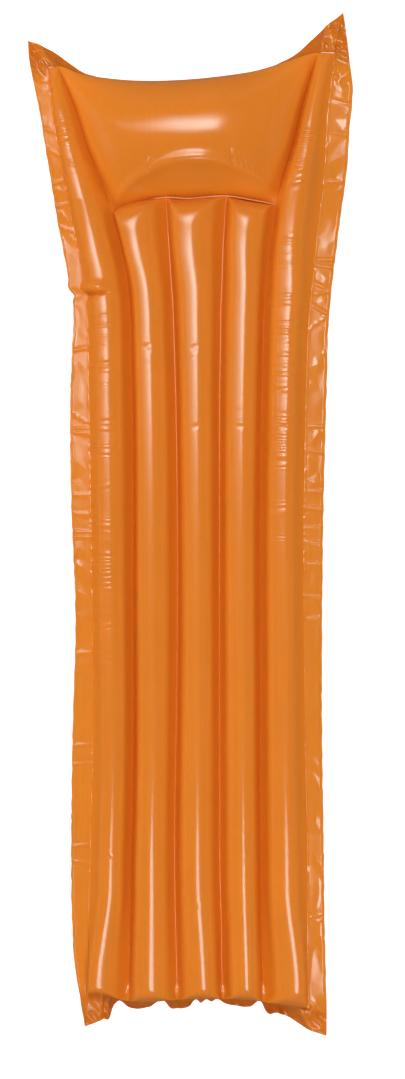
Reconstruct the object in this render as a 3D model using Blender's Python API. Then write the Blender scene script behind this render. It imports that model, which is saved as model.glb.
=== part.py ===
"""Inflatable pool mattress: five lengthwise air tubes, a pillow chamber, welded film margins and two stop valves.

Metres, +Z up. The mattress lies on its underside with its head at +Y. The origin is under the middle of its outline.
Each chamber is a real film wall with air inside it. Chambers and margins part along the weld lines of the two films.
"""

from math import asin, cos, hypot, pi, radians, sin, sqrt

import bmesh
import bpy
import numpy as np
from mathutils import Matrix

# Film and welds
FILM = 0.0003
TUBE_WELD = 0.0030
PILLOW_WELD = 0.0040
GAP = 0.0003
SEAM_GAP = 0.0008
NECK_AT_WELD = 0.0012

# Tubes, left to right, each measured from weld line to weld line when inflated
TUBE_WIDTHS = (0.0747, 0.0660, 0.0764, 0.0747, 0.0791)
LEFT_SEAM_X = -0.1705
TUBE_HALF_HEIGHT = 0.0372
TUBE_FLATTENING = 0.0027
TALLEST_SHARE = 0.56
# How far each tube's crest leans to the right of its middle at the foot, along the body and at the head, as shares
# of its width
TUBE_LEANS = ((-0.121, -0.121, -0.188), (-0.065, -0.120, -0.240), (-0.025, -0.090, -0.155), (0.055, 0.000, -0.090),
              (0.083, 0.083, -0.097))
# How steeply a tube's top meets its welds, as a multiple of the half height over the half width
VALLEY_SLOPE = 2.1
CREST_SOFTNESS = 0.16
TUBE_END_ROUNDING = 0.062
HEAD_TUBE_END_ROUNDING = 0.034
END_SLANT_POWER = 6
STEEPEST_REST = 1.48

# Lengths along the mattress
PILLOW_SEAM_Y = 0.569
BODY_LENGTH = 1.399
FOOT_CHANNEL = 0.034
CHANNEL_NECK = 0.012
SHOULDER = 0.168
BEND_BELOW_SHOULDER = 0.252
PILLOW_LENGTH = 0.204

# The pillow, and how it lifts the weld lines round it off the floor
PILLOW_RISE = 0.070
PILLOW_FLATTENING = 0.016
PILLOW_SIDE_POWER = 2.6
PILLOW_SIDE_FULLNESS = 0.55
PILLOW_END_POWER = 2.2
PILLOW_CREST = 0.57
PILLOW_NEAR_POWER = 1.6
PILLOW_NEAR_FULLNESS = 0.80
PILLOW_FAR_POWER = 2.0
PILLOW_FAR_FULLNESS = 0.62
HEAD_SEAM_HEIGHT = 0.060
LIFT_BEFORE_SEAM = 0.100
LIFT_LENGTH = 0.250

# How far each weld line strays from its straight run, as (distance above the pillow seam, offset to the right)
SEAM_OFFSETS = (
    ((-1.40, -0.007), (-1.25, -0.006), (-0.94, 0.001), (-0.70, 0.000), (-0.35, -0.006), (-0.20, -0.009),
     (-0.10, -0.022), (-0.04, -0.035), (0.05, -0.052), (0.15, -0.068), (0.23, -0.076)),
    ((-1.38, -0.012), (-1.23, -0.0090), (-1.15, -0.0085), (-1.07, -0.0060), (-0.94, -0.0037), (-0.70, -0.0036),
     (-0.45, -0.0038), (-0.34, -0.0052), (-0.24, -0.0074), (-0.187, -0.0095), (-0.135, -0.0150), (-0.083, -0.0245),
     (-0.031, -0.0380), (0.013, -0.054), (0.082, -0.082), (0.152, -0.104), (0.225, -0.134)),
    ((-1.40, 0.0075), (-1.28, 0.0046), (-1.20, 0.0031), (-1.05, 0.0031), (-0.95, 0.0048), (-0.80, 0.0070),
     (-0.60, 0.0075), (-0.45, 0.0062), (-0.36, 0.0048), (-0.29, 0.0031), (-0.24, 0.0013), (-0.187, -0.0004),
     (-0.135, -0.0039), (-0.083, -0.0074), (-0.031, -0.0106), (0.0, -0.0122)),
    ((-1.40, 0.0110), (-1.3335, 0.0083), (-1.28, 0.0080), (-1.20, 0.0055), (-1.05, 0.0048), (-0.80, 0.0045),
     (-0.50, 0.0045), (-0.34, 0.0048), (-0.24, 0.0062), (-0.187, 0.0070), (-0.135, 0.0090), (-0.083, 0.0108),
     (-0.031, 0.0138), (0.0, 0.0165)),
    ((-1.38, 0.0052), (-1.229, 0.002523), (-1.15, 0.0020), (-1.05, 0.0010), (-0.80, 0.0010), (-0.50, 0.0010),
     (-0.40, 0.0027), (-0.30, 0.0045), (-0.24, 0.0062), (-0.187, 0.0080), (-0.135, 0.0115), (-0.083, 0.0182),
     (-0.031, 0.0255), (0.013, 0.033), (0.082, 0.054), (0.152, 0.071), (0.245, 0.098)),
    ((-1.40, 0.004), (-1.125, 0.003), (-0.98, 0.000), (-0.35, 0.001), (-0.227, 0.005), (-0.130, 0.014),
     (-0.043, 0.023), (0.051, 0.033), (0.136, 0.037), (0.245, 0.050)),
)
# The pillow seam, the head edge and the foot weld, as (x, distance towards the head)
PILLOW_SEAM = ((-0.1364, -0.027), (-0.117, -0.020), (-0.086, -0.008), (-0.051, 0.000), (0.004, -0.001),
               (0.046, 0.003), (0.063, 0.003), (0.110, -0.004), (0.1485, -0.011))
HEAD_EDGE = ((-0.247, 0.020), (-0.227, 0.022), (-0.192, 0.010), (-0.138, 0.001), (0.004, 0.000),
             (0.060, 0.006), (0.1155, 0.015), (0.162, 0.029), (0.222, 0.046), (0.250, 0.046))
FOOT_EDGE = ((-0.180, 0.014), (-0.150, 0.012), (-0.120, 0.003), (0.000, 0.004), (0.120, 0.001), (0.155, -0.005),
             (0.210, -0.012))

# Margins, the loose border of doubled film outside the welds. MARGIN_FILM is its width laid flat. The lists give
# its width seen from above, as (distance above the pillow seam, width) for the sides and (x, width) for the ends.
MARGIN_FILM = 0.045
LEFT_MARGIN = ((-1.399, 0.021), (-1.32, 0.026), (-0.97, 0.036), (-0.70, 0.030), (-0.56, 0.034), (-0.28, 0.030),
               (-0.17, 0.024), (-0.14, 0.026), (0.065, 0.023), (0.17, 0.025), (0.222, 0.034))
RIGHT_MARGIN = ((-1.399, 0.033), (-1.27, 0.030), (-0.97, 0.030), (-0.56, 0.034), (-0.30, 0.036), (-0.14, 0.035),
                (-0.05, 0.037), (0.10, 0.040), (0.18, 0.040), (0.240, 0.032))
HEAD_MARGIN = ((-0.227, 0.018), (-0.192, 0.009), (-0.138, 0.005), (-0.090, 0.005), (0.070, 0.005), (0.110, 0.005),
               (0.170, 0.009), (0.222, 0.024))
FOOT_MARGIN = ((-0.178, 0.044), (-0.150, 0.036), (-0.128, 0.008), (-0.108, 0.014), (-0.073, 0.012), (-0.042, 0.008),
               (-0.035, 0.015), (-0.005, 0.018), (0.014, 0.009), (0.042, 0.006), (0.070, 0.012), (0.100, 0.015),
               (0.127, 0.009), (0.137, 0.018), (0.157, 0.020), (0.185, 0.028))
# How far each corner of the margin reaches from the corner of the welds, as (right, towards the head)
HEAD_LEFT_CORNER = (-0.0356, 0.046)
HEAD_RIGHT_CORNER = (0.0150, 0.070)
FOOT_LEFT_CORNER = (-0.0060, -0.057)
FOOT_RIGHT_CORNER = (0.0330, -0.048)
CORNER_LENGTH = 0.070
CORNER_GAP = 0.0012
MARGIN_CLEARANCE = 0.004
SIDE_MARGIN_DROP = 0.014
SIDE_MARGIN_DROOP = 1.6
MARGIN_RIPPLE = 0.0022
MARGIN_RIPPLE_LENGTH = 0.150
SIDE_MARGIN_ROW = 0.030
END_MARGIN_ROW = 0.012
MARGIN_COLUMNS = 3

# Stop valve, a soft moulding, measured up from the outer face of the film round it
VALVE_HOLE = 0.0092
BASE_RADIUS = 0.0126
BASE_THICKNESS = 0.0012
WEB_SHOULDER = 0.0032
WEB_TOP = 0.0090
WEB_THICKNESS = 0.0005
STEM_RADIUS = 0.0052
STEM_BORE = 0.0036
STEM_MOUTH = 0.0015
STEM_LENGTH = 0.0135
RIM_RADIUS = 0.0066
RIM_THICKNESS = 0.0010
PLUG_HEAD_RADIUS = 0.0048
PLUG_HEAD_THICKNESS = 0.0010
PLUG_TIP_RADIUS = 0.0020
PLUG_DEPTH = 0.0045
PLUG_TAB_LENGTH = 0.0034
STRAP_WIDTH = 0.0030
STRAP_THICKNESS = 0.0008
HINGE_REACH = 0.0074
HINGE_LUG = 0.0004
FLAP_THICKNESS = 0.0006
FLAP_OVERLAP = 0.0010
PILLOW_VALVE_X = 0.080
PILLOW_VALVE_ABOVE_SEAM = 0.100
BODY_VALVE_ABOVE_FOOT = 0.170

# Facets and rows. The shares are of a rounded end's length, closer together where it curves more.
UPPER_FACETS = 6
LOWER_FACETS = 2
PILLOW_FACETS = 20
PILLOW_ROWS = 12
PILLOW_WELD_ROWS = 36
BODY_ROWS = 6
HEAD_ROW = 0.042
END_SHARES = (0.35, 0.65, 0.86, 0.96)
CHANNEL_SHARES = (0, 0.45, 0.75, 0.93, 1)
ROUND_FACETS = 20
PIN_FACETS = 10
SHARP_ANGLE = 50
MERGE_DISTANCE = 1e-6
CUTTER_REACH = 0.010
SETTLING_STEPS = 4

# Worked out from the above
SEAM_HEIGHT = TUBE_HALF_HEIGHT - TUBE_FLATTENING
HEAD_Y = PILLOW_SEAM_Y + PILLOW_LENGTH
FOOT_Y = PILLOW_SEAM_Y - BODY_LENGTH
CHANNEL_Y = FOOT_Y + FOOT_CHANNEL
SHOULDER_Y = PILLOW_SEAM_Y - SHOULDER


def smooth_line(points, at):
    """Value at a place along a smooth line through points, held level past its ends."""
    along = [p[0] for p in points]
    value = [p[1] for p in points]
    if at <= along[0]:
        return value[0]
    if at >= along[-1]:
        return value[-1]
    i = max(k for k in range(len(along) - 1) if along[k] <= at)
    slopes = np.gradient(value, along)
    span = along[i + 1] - along[i]
    t = (at - along[i]) / span
    return float((2 * t**3 - 3 * t**2 + 1) * value[i] + (t**3 - 2 * t**2 + t) * span * slopes[i]
                 + (3 * t**2 - 2 * t**3) * value[i + 1] + (t**3 - t**2) * span * slopes[i + 1])


def ease(t):
    """Rises smoothly from 0 to 1 as t does."""
    t = min(max(t, 0.0), 1.0)
    return t * t * (3 - 2 * t)


def blend(a, b, share):
    return a + (b - a) * share


def seam_x(k, y):
    """Where weld line k of six, left to right, lies at y."""
    return LEFT_SEAM_X + sum(TUBE_WIDTHS[:k]) + smooth_line(SEAM_OFFSETS[k], y - PILLOW_SEAM_Y)


def seam_z(y):
    """Height of the weld plane: low along the body, lifted by the pillow at the head."""
    lift = ease((y - PILLOW_SEAM_Y + LIFT_BEFORE_SEAM) / LIFT_LENGTH)
    return blend(SEAM_HEIGHT, HEAD_SEAM_HEIGHT, lift)


def tube_lean(k, y):
    """How far the crest of tube k leans at y, as a share of its width."""
    foot, body, head = TUBE_LEANS[k]
    return blend(blend(foot, body, ease((y + 0.60) / 0.60)), head, ease((y - 0.40) / 0.10))


def pillow_seam_y(x):
    return PILLOW_SEAM_Y + smooth_line(PILLOW_SEAM, x)


def head_edge_y(x):
    return HEAD_Y + smooth_line(HEAD_EDGE, x)


def foot_edge_y(x):
    return FOOT_Y + smooth_line(FOOT_EDGE, x)


def lower_of(a, b):
    """The lower of two heights, rounded over where they cross."""
    share = min(max(0.5 + 0.5 * (b - a) / CREST_SOFTNESS, 0.0), 1.0)
    return blend(b, a, share) - CREST_SOFTNESS * share * (1 - share)


def chamber_side(k, y, side):
    """Edge of a chamber beside weld line k: side is 1 to its right and -1 to its left."""
    return seam_x(k, y) + side * (TUBE_WELD / 2 + SEAM_GAP)


def seam_rows(start, end):
    """Places along the weld lines, shared by what lies beside them: wide apart on the body, close where it widens."""
    bend = SHOULDER_Y - BEND_BELOW_SHOULDER
    rows = [blend(CHANNEL_Y, bend, i / BODY_ROWS) for i in range(BODY_ROWS + 1)]
    while rows[-1] < end:
        rows.append(rows[-1] + HEAD_ROW)
    return [start] + [y for y in rows if start + HEAD_ROW / 4 < y < end - HEAD_ROW / 4] + [end]


def material(name, colour, roughness):
    made = bpy.data.materials.new(name)
    made.use_nodes = True
    shader = made.node_tree.nodes["Principled BSDF"]
    shader.inputs["Base Color"].default_value = (*colour, 1.0)
    shader.inputs["Roughness"].default_value = roughness
    shader.inputs["Metallic"].default_value = 0.0
    return made


def finish(name, bm, finish_material, origin=(0, 0, 0)):
    """Makes an object of a bmesh, with its faces out and its origin where it stands or turns."""
    bmesh.ops.remove_doubles(bm, verts=bm.verts, dist=MERGE_DISTANCE)
    bmesh.ops.recalc_face_normals(bm, faces=bm.faces)
    if bm.calc_volume(signed=True) < 0:
        bmesh.ops.reverse_faces(bm, faces=bm.faces)
    bmesh.ops.translate(bm, verts=bm.verts, vec=[-c for c in origin])
    mesh = bpy.data.meshes.new(name)
    bm.to_mesh(mesh)
    bm.free()
    mesh.shade_smooth()
    mesh.set_sharp_from_angle(angle=radians(SHARP_ANGLE))
    mesh.materials.append(finish_material)
    obj = bpy.data.objects.new(name, mesh)
    obj.location = origin
    bpy.context.scene.collection.objects.link(obj)
    return obj


def solidify(obj, thickness, offset):
    wall = obj.modifiers.new("wall", "SOLIDIFY")
    wall.thickness = thickness
    wall.offset = offset
    wall.use_even_offset = offset != 0
    return obj


def boolean(obj, tool, operation):
    tool.hide_render = True
    tool.display_type = "WIRE"
    cut = obj.modifiers.new(operation.lower(), "BOOLEAN")
    cut.operation = operation
    cut.object = tool
    return obj


def sweep(lines, closed_line, close_ends=False):
    """A skin drawn from line to line of points, each line open or closed into a ring."""
    bm = bmesh.new()
    row = [bm.verts.new(p) for p in lines[0]]
    count = len(row) if closed_line else len(row) - 1
    edges = [bm.edges.new((row[i], row[(i + 1) % len(row)])) for i in range(count)]
    if close_ends:
        bm.faces.new(row)
    for line in lines[1:]:
        drawn = bmesh.ops.extrude_edge_only(bm, edges=edges)["geom"]
        edges = [e for e in drawn if isinstance(e, bmesh.types.BMEdge)]
        fresh = {v for e in edges for v in e.verts}
        row = [next(e.other_vert(v) for e in v.link_edges if e.other_vert(v) in fresh) for v in row]
        for vert, point in zip(row, line):
            vert.co = point
    if close_ends:
        bm.faces.new(row)
    return bm


def section(middle, half_height, lean):
    """Half sections of a blown tube pressed on the floor, as (share across, share of the half height).

    The upper half runs right to left, and the lower half back again along the flat where it meets the floor. The
    upper half leaves its welds at a slant, which keeps the valley between two tubes open, and its crest leans.
    """
    low = asin(min(middle / half_height, sin(STEEPEST_REST)))
    upper = [pi * i / UPPER_FACETS for i in range(UPPER_FACETS + 1)]
    left = [pi + low * (i + 1) / LOWER_FACETS for i in range(LOWER_FACETS)]
    right = [-low + low * i / LOWER_FACETS for i in range(LOWER_FACETS)]
    share = lambda angle: (0.5 + 0.5 * cos(angle), sin(angle))
    crown = lambda angle: (0.5 + 0.5 * cos(angle) + lean * sin(angle)**2,
                           max(lower_of(sin(angle), VALLEY_SLOPE * (1 - abs(cos(angle)))), 0.0))
    return [crown(a) for a in upper], [share(a) for a in left] + [(0.5, -sin(low))] + [share(a) for a in right]


def tube_ring(left, right, place, half_height):
    """One ring of a tube between two weld lines. place gives y from the share of the width.

    With no height it is a seam, where the lower film meets the upper one point for point.
    """
    upper, lower = section(seam_z(place(0.5)), half_height or TUBE_HALF_HEIGHT, tube_lean(left, place(0.5)))
    if not half_height:
        lower = upper[-2:0:-1]
    ring = []
    for across, high in upper + lower:
        y = place(across)
        x = blend(chamber_side(left, y, 1), chamber_side(right, y, -1), across)
        ring.append((x, y, max(seam_z(y) + half_height * high, 0.0)))
    return ring


def tube(name, left, right, start_y, end_y, film, rounding=0):
    """A tube of film from start_y to the line end_y(x). It is open at its start, and shut at its end if rounded."""
    end = end_y((seam_x(left, end_y(0)) + seam_x(right, end_y(0))) / 2)
    rows = seam_rows(start_y, end - rounding)
    if rounding:
        rows += [blend(end - rounding, end, s) for s in END_SHARES] + [end]
    rings = []
    for row in rows:
        slant = ((row - start_y) / (end - start_y)) ** END_SLANT_POWER

        def place(across):
            y = row
            for _ in range(SETTLING_STEPS):
                x = blend(seam_x(left, y), seam_x(right, y), across)
                y = row + slant * (end_y(x) - end)
            return y

        width = seam_x(right, row) - seam_x(left, row) - TUBE_WELD
        half = min(TUBE_HALF_HEIGHT, TALLEST_SHARE * width)
        if rounding and row > end - rounding:
            past = (row - end + rounding) / rounding
            half = half * sqrt(max(1 - past**2, 0)) if row < end else 0
        rings.append(tube_ring(left, right, place, half))
    obj = finish(name, sweep(rings, True), film)
    return solidify(obj, FILM, -1)


def build_tubes(film):
    """The three inner tubes up to the pillow seam, and the outer tubes with their head ends beside the pillow."""
    start = CHANNEL_Y + GAP
    end_inner = lambda x: pillow_seam_y(x) - PILLOW_WELD / 2 - SEAM_GAP
    end_head = lambda x: head_edge_y(x) - SEAM_GAP
    made = {}
    for name, k in (("inner_left_tube", 1), ("centre_tube", 2), ("inner_right_tube", 3)):
        made[name] = tube(name, k, k + 1, start, end_inner, film, TUBE_END_ROUNDING)
    for side, k in (("left", 0), ("right", 4)):
        name = f"outer_{side}_tube"
        made[name] = tube(name, k, k + 1, start, lambda x: SHOULDER_Y, film)
        tube(f"head_{side}_tube", k, k + 1, SHOULDER_Y + GAP, end_head, film, HEAD_TUBE_END_ROUNDING)
    return made


def build_foot_channel(film):
    """The cross passage at the foot that joins the five tubes, open towards them and shut at the foot weld."""
    rings = []
    for share in CHANNEL_SHARES:
        half = TUBE_HALF_HEIGHT * sqrt(1 - share**2)
        neck = min(half, NECK_AT_WELD + CHANNEL_NECK * sin(pi * share))
        base = seam_z(CHANNEL_Y)
        upper, lower = [], []
        for k in range(len(TUBE_WIDTHS)):
            upper_half, lower_half = section(SEAM_HEIGHT, TUBE_HALF_HEIGHT, tube_lean(k, CHANNEL_Y))
            if share == 1:
                lower_half = upper_half[-2:0:-1]
            left = chamber_side(k, blend(CHANNEL_Y, FOOT_Y, share), 1)
            right = chamber_side(k + 1, blend(CHANNEL_Y, FOOT_Y, share), -1)
            bump = [(blend(left, right, a), base + max(half * h, neck)) for a, h in upper_half]
            dip = [(blend(left, right, a), max(base - max(-half * h, neck), 0)) for a, h in lower_half]
            upper = bump + upper
            lower += [(left, base - neck)] + dip + [(right, base - neck)]
        left_end, right_end = [(upper[-1][0], base)], [(lower[-1][0], base)]
        ring = right_end + upper[1:-1] + left_end + lower[1:-1]
        rings.append([(x, blend(CHANNEL_Y, foot_edge_y(x), share), z) for x, z in ring])
    obj = finish("foot_channel", sweep(rings, True), film)
    return solidify(obj, FILM, -1)


def pillow_height(across, along):
    """Shares of the pillow's full height and depth, from 0 at its seams to 1. Its crest lies towards the head."""
    side = max(1 - abs(2 * across - 1) ** PILLOW_SIDE_POWER, 0) ** PILLOW_SIDE_FULLNESS
    if along < PILLOW_CREST:
        crown = max(1 - (1 - along / PILLOW_CREST) ** PILLOW_NEAR_POWER, 0) ** PILLOW_NEAR_FULLNESS
    else:
        past = (along - PILLOW_CREST) / (1 - PILLOW_CREST)
        crown = max(1 - past**PILLOW_FAR_POWER, 0) ** PILLOW_FAR_FULLNESS
    belly = sqrt(max(1 - abs(2 * along - 1) ** PILLOW_END_POWER, 0))
    return side * crown, side * belly


def build_pillow(film):
    """The pillow chamber, a crowned film pad between the pillow seam, the head edge and its two side seams."""
    shares = [0.5 - 0.5 * cos(pi * i / PILLOW_FACETS) for i in range(PILLOW_FACETS + 1)]
    rings = []
    for along in [0.5 - 0.5 * cos(pi * i / PILLOW_ROWS) for i in range(PILLOW_ROWS + 1)]:
        upper, lower = [], []
        for across in shares:
            y = blend(PILLOW_SEAM_Y, HEAD_Y, along)
            for _ in range(SETTLING_STEPS):
                x = blend(chamber_side(4, y, -1), chamber_side(1, y, 1), across)
                start = pillow_seam_y(x) + PILLOW_WELD / 2 + SEAM_GAP
                y = blend(start, head_edge_y(x) - SEAM_GAP, along)
            crown, belly = pillow_height(across, along)
            upper.append((x, y, seam_z(y) + PILLOW_RISE * crown))
            lower.append((x, y, max(seam_z(y) - (HEAD_SEAM_HEIGHT + PILLOW_FLATTENING) * belly, 0)))
        rings.append(upper + lower[-2:0:-1])
    obj = finish("pillow", sweep(rings, True), film)
    return solidify(obj, FILM, -1)


def strip(name, middle, half_across, film):
    """A welded strip of doubled film along a line of points, half_across being a vector to its right edge."""
    rings = []
    for x, y in middle:
        corners = [(x - half_across[0], y - half_across[1]), (x + half_across[0], y + half_across[1])]
        low = [(cx, cy, seam_z(cy) - FILM) for cx, cy in corners]
        high = [(cx, cy, seam_z(cy) + FILM) for cx, cy in reversed(corners)]
        rings.append(low + high)
    return finish(name, sweep(rings, True, close_ends=True), film)


def build_welds(film):
    """The welds between tubes, of which the outer two run on beside the pillow, and the pillow's own weld."""
    names = ("weld_outer_left", "weld_inner_left", "weld_inner_right", "weld_outer_right")
    for k, name in zip((1, 2, 3, 4), names):
        x_end = seam_x(k, PILLOW_SEAM_Y)
        end = pillow_seam_y(x_end) - PILLOW_WELD / 2 - SEAM_GAP
        if k in (1, 4):
            end = min(head_edge_y(seam_x(k, HEAD_Y) + side * TUBE_WELD / 2) for side in (-1, 1)) - SEAM_GAP
        strip(name, [(seam_x(k, y), y) for y in seam_rows(CHANNEL_Y + GAP, end)], (TUBE_WELD / 2, 0), film)
    left = chamber_side(1, pillow_seam_y(seam_x(1, PILLOW_SEAM_Y)), 1) + PILLOW_WELD / 4
    right = chamber_side(4, pillow_seam_y(seam_x(4, PILLOW_SEAM_Y)), -1) - PILLOW_WELD / 4
    rows = [blend(left, right, i / PILLOW_WELD_ROWS) for i in range(PILLOW_WELD_ROWS + 1)]
    strip("pillow_weld", [(x, pillow_seam_y(x)) for x in rows], (0, PILLOW_WELD / 2), film)


def margin(name, inner, outer, along, most_drop, fall, film):
    """A strip of doubled film from its weld to its free edge, rippled along its length.

    most_drop is the furthest that the free edge may hang. fall gives the shares of the way out and of the way down
    from the share of the film's width.
    """
    lines = []
    for (x0, y0), (x1, y1), s in zip(inner, outer, along):
        width = hypot(x1 - x0, y1 - y0)
        start = seam_z(y0)
        drop = min(sqrt(max(MARGIN_FILM**2 - width**2, 0.0)), most_drop)
        end = max(start - drop, MARGIN_CLEARANCE)
        ripple = MARGIN_RIPPLE * sin(2 * pi * s / MARGIN_RIPPLE_LENGTH)
        line = []
        for c in range(MARGIN_COLUMNS + 1):
            t = c / MARGIN_COLUMNS
            out, down = fall(t)
            z = blend(start, end, down) + max(ripple, 0) * t
            line.append((blend(x0, x1, out), blend(y0, y1, out), z))
        lines.append(line)
    obj = finish(name, sweep(lines, False), film)
    return solidify(obj, 2 * FILM, 0)


def corner_pull(distance):
    """How far a free edge is drawn to the margin's corner at this distance from the corner of the welds."""
    return max(1 - distance / CORNER_LENGTH, 0) ** 2


def build_side_margin(name, k, side, widths, foot_corner, head_corner, film):
    """A margin along one side, from corner to corner, which droops a little."""
    foot = foot_edge_y(seam_x(k, FOOT_Y)) + GAP
    head = head_edge_y(seam_x(k, HEAD_Y)) - CORNER_GAP
    rows = seam_rows(foot, head)
    for i in range(len(rows) - 1, 0, -1):
        count = max(round((rows[i] - rows[i - 1]) / SIDE_MARGIN_ROW), 1)
        rows[i:i] = [blend(rows[i - 1], rows[i], n / count) for n in range(1, count)]
    inner, outer, along = [], [], []
    for y in rows:
        x = seam_x(k, y) - side * (TUBE_WELD / 2 - FILM)
        far_x = seam_x(k, y) + side * smooth_line(widths, y - PILLOW_SEAM_Y)
        far_y = y
        for corner, distance, shift in ((foot_corner, y - foot, 1), (head_corner, head - y, -1)):
            pull = corner_pull(distance)
            far_x = blend(far_x, x + corner[0] + side * CORNER_GAP, pull)
            far_y = blend(far_y, y + corner[1] + shift * CORNER_GAP, pull)
        inner.append((x, y))
        outer.append((far_x, far_y))
        along.append(y)
    droop = lambda t: (t, t**SIDE_MARGIN_DROOP)
    return margin(name, inner, outer, along, SIDE_MARGIN_DROP, droop, film)


def build_end_margin(name, end, edge_y, widths, left_corner, right_corner, film):
    """A margin along the head or the foot, which hangs straight down and curls out between its two flat corners."""
    left = seam_x(0, edge_y(LEFT_SEAM_X)) + TUBE_WELD / 2 + CORNER_GAP
    right = seam_x(5, edge_y(-LEFT_SEAM_X)) - TUBE_WELD / 2 - CORNER_GAP
    columns = round((right - left) / END_MARGIN_ROW)
    inner, outer, along = [], [], []
    for i in range(columns + 1):
        x = blend(left, right, i / columns)
        y = edge_y(x) + end * (SEAM_GAP + FILM)
        far_x, far_y = x, y + end * smooth_line(widths, x)
        for corner, distance in ((left_corner, x - left), (right_corner, right - x)):
            pull = corner_pull(distance)
            far_x = blend(far_x, x + corner[0], pull)
            far_y = blend(far_y, y + corner[1], pull)
        inner.append((x, y))
        outer.append((far_x, far_y))
        along.append(x)
    curl = lambda t: (1 - cos(pi * t / 2), sin(pi * t / 2))
    return margin(name, inner, outer, along, MARGIN_FILM, curl, film)


def build_margins(film):
    build_side_margin("margin_left", 0, -1, LEFT_MARGIN, FOOT_LEFT_CORNER, HEAD_LEFT_CORNER, film)
    build_side_margin("margin_right", 5, 1, RIGHT_MARGIN, FOOT_RIGHT_CORNER, HEAD_RIGHT_CORNER, film)
    build_end_margin("margin_head", 1, head_edge_y, HEAD_MARGIN, HEAD_LEFT_CORNER, HEAD_RIGHT_CORNER, film)
    build_end_margin("margin_foot", -1, foot_edge_y, FOOT_MARGIN, FOOT_LEFT_CORNER, FOOT_RIGHT_CORNER, film)


def revolve(profile, closed):
    """A solid turned about Z from an outline of (radius, height), closed or with its ends on the axis."""
    bm = bmesh.new()
    verts = [bm.verts.new((r, 0, z)) for r, z in profile]
    count = len(verts) if closed else len(verts) - 1
    edges = [bm.edges.new((verts[i], verts[(i + 1) % len(verts)])) for i in range(count)]
    bmesh.ops.spin(bm, geom=verts + edges, cent=(0, 0, 0), axis=(0, 0, 1), angle=2 * pi, steps=ROUND_FACETS,
                   use_merge=True)
    bmesh.ops.remove_doubles(bm, verts=bm.verts, dist=MERGE_DISTANCE)
    bmesh.ops.dissolve_degenerate(bm, dist=MERGE_DISTANCE, edges=bm.edges)
    return bm


def box(low, high):
    bm = bmesh.new()
    size = [h - l for l, h in zip(low, high)]
    middle = [(h + l) / 2 for l, h in zip(low, high)]
    bmesh.ops.create_cube(bm, size=1.0, matrix=Matrix.Translation(middle) @ Matrix.Diagonal((*size, 1)))
    return bm


def pin(radius, length, at):
    """A round pin along Y."""
    bm = bmesh.new()
    place = Matrix.Translation(at) @ Matrix.Rotation(pi / 2, 4, "X")
    bmesh.ops.create_cone(bm, cap_ends=True, segments=PIN_FACETS, radius1=radius, radius2=radius, depth=length,
                          matrix=place)
    return bm


def move(bm, at):
    bmesh.ops.translate(bm, verts=bm.verts, vec=at)
    return bm


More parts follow.
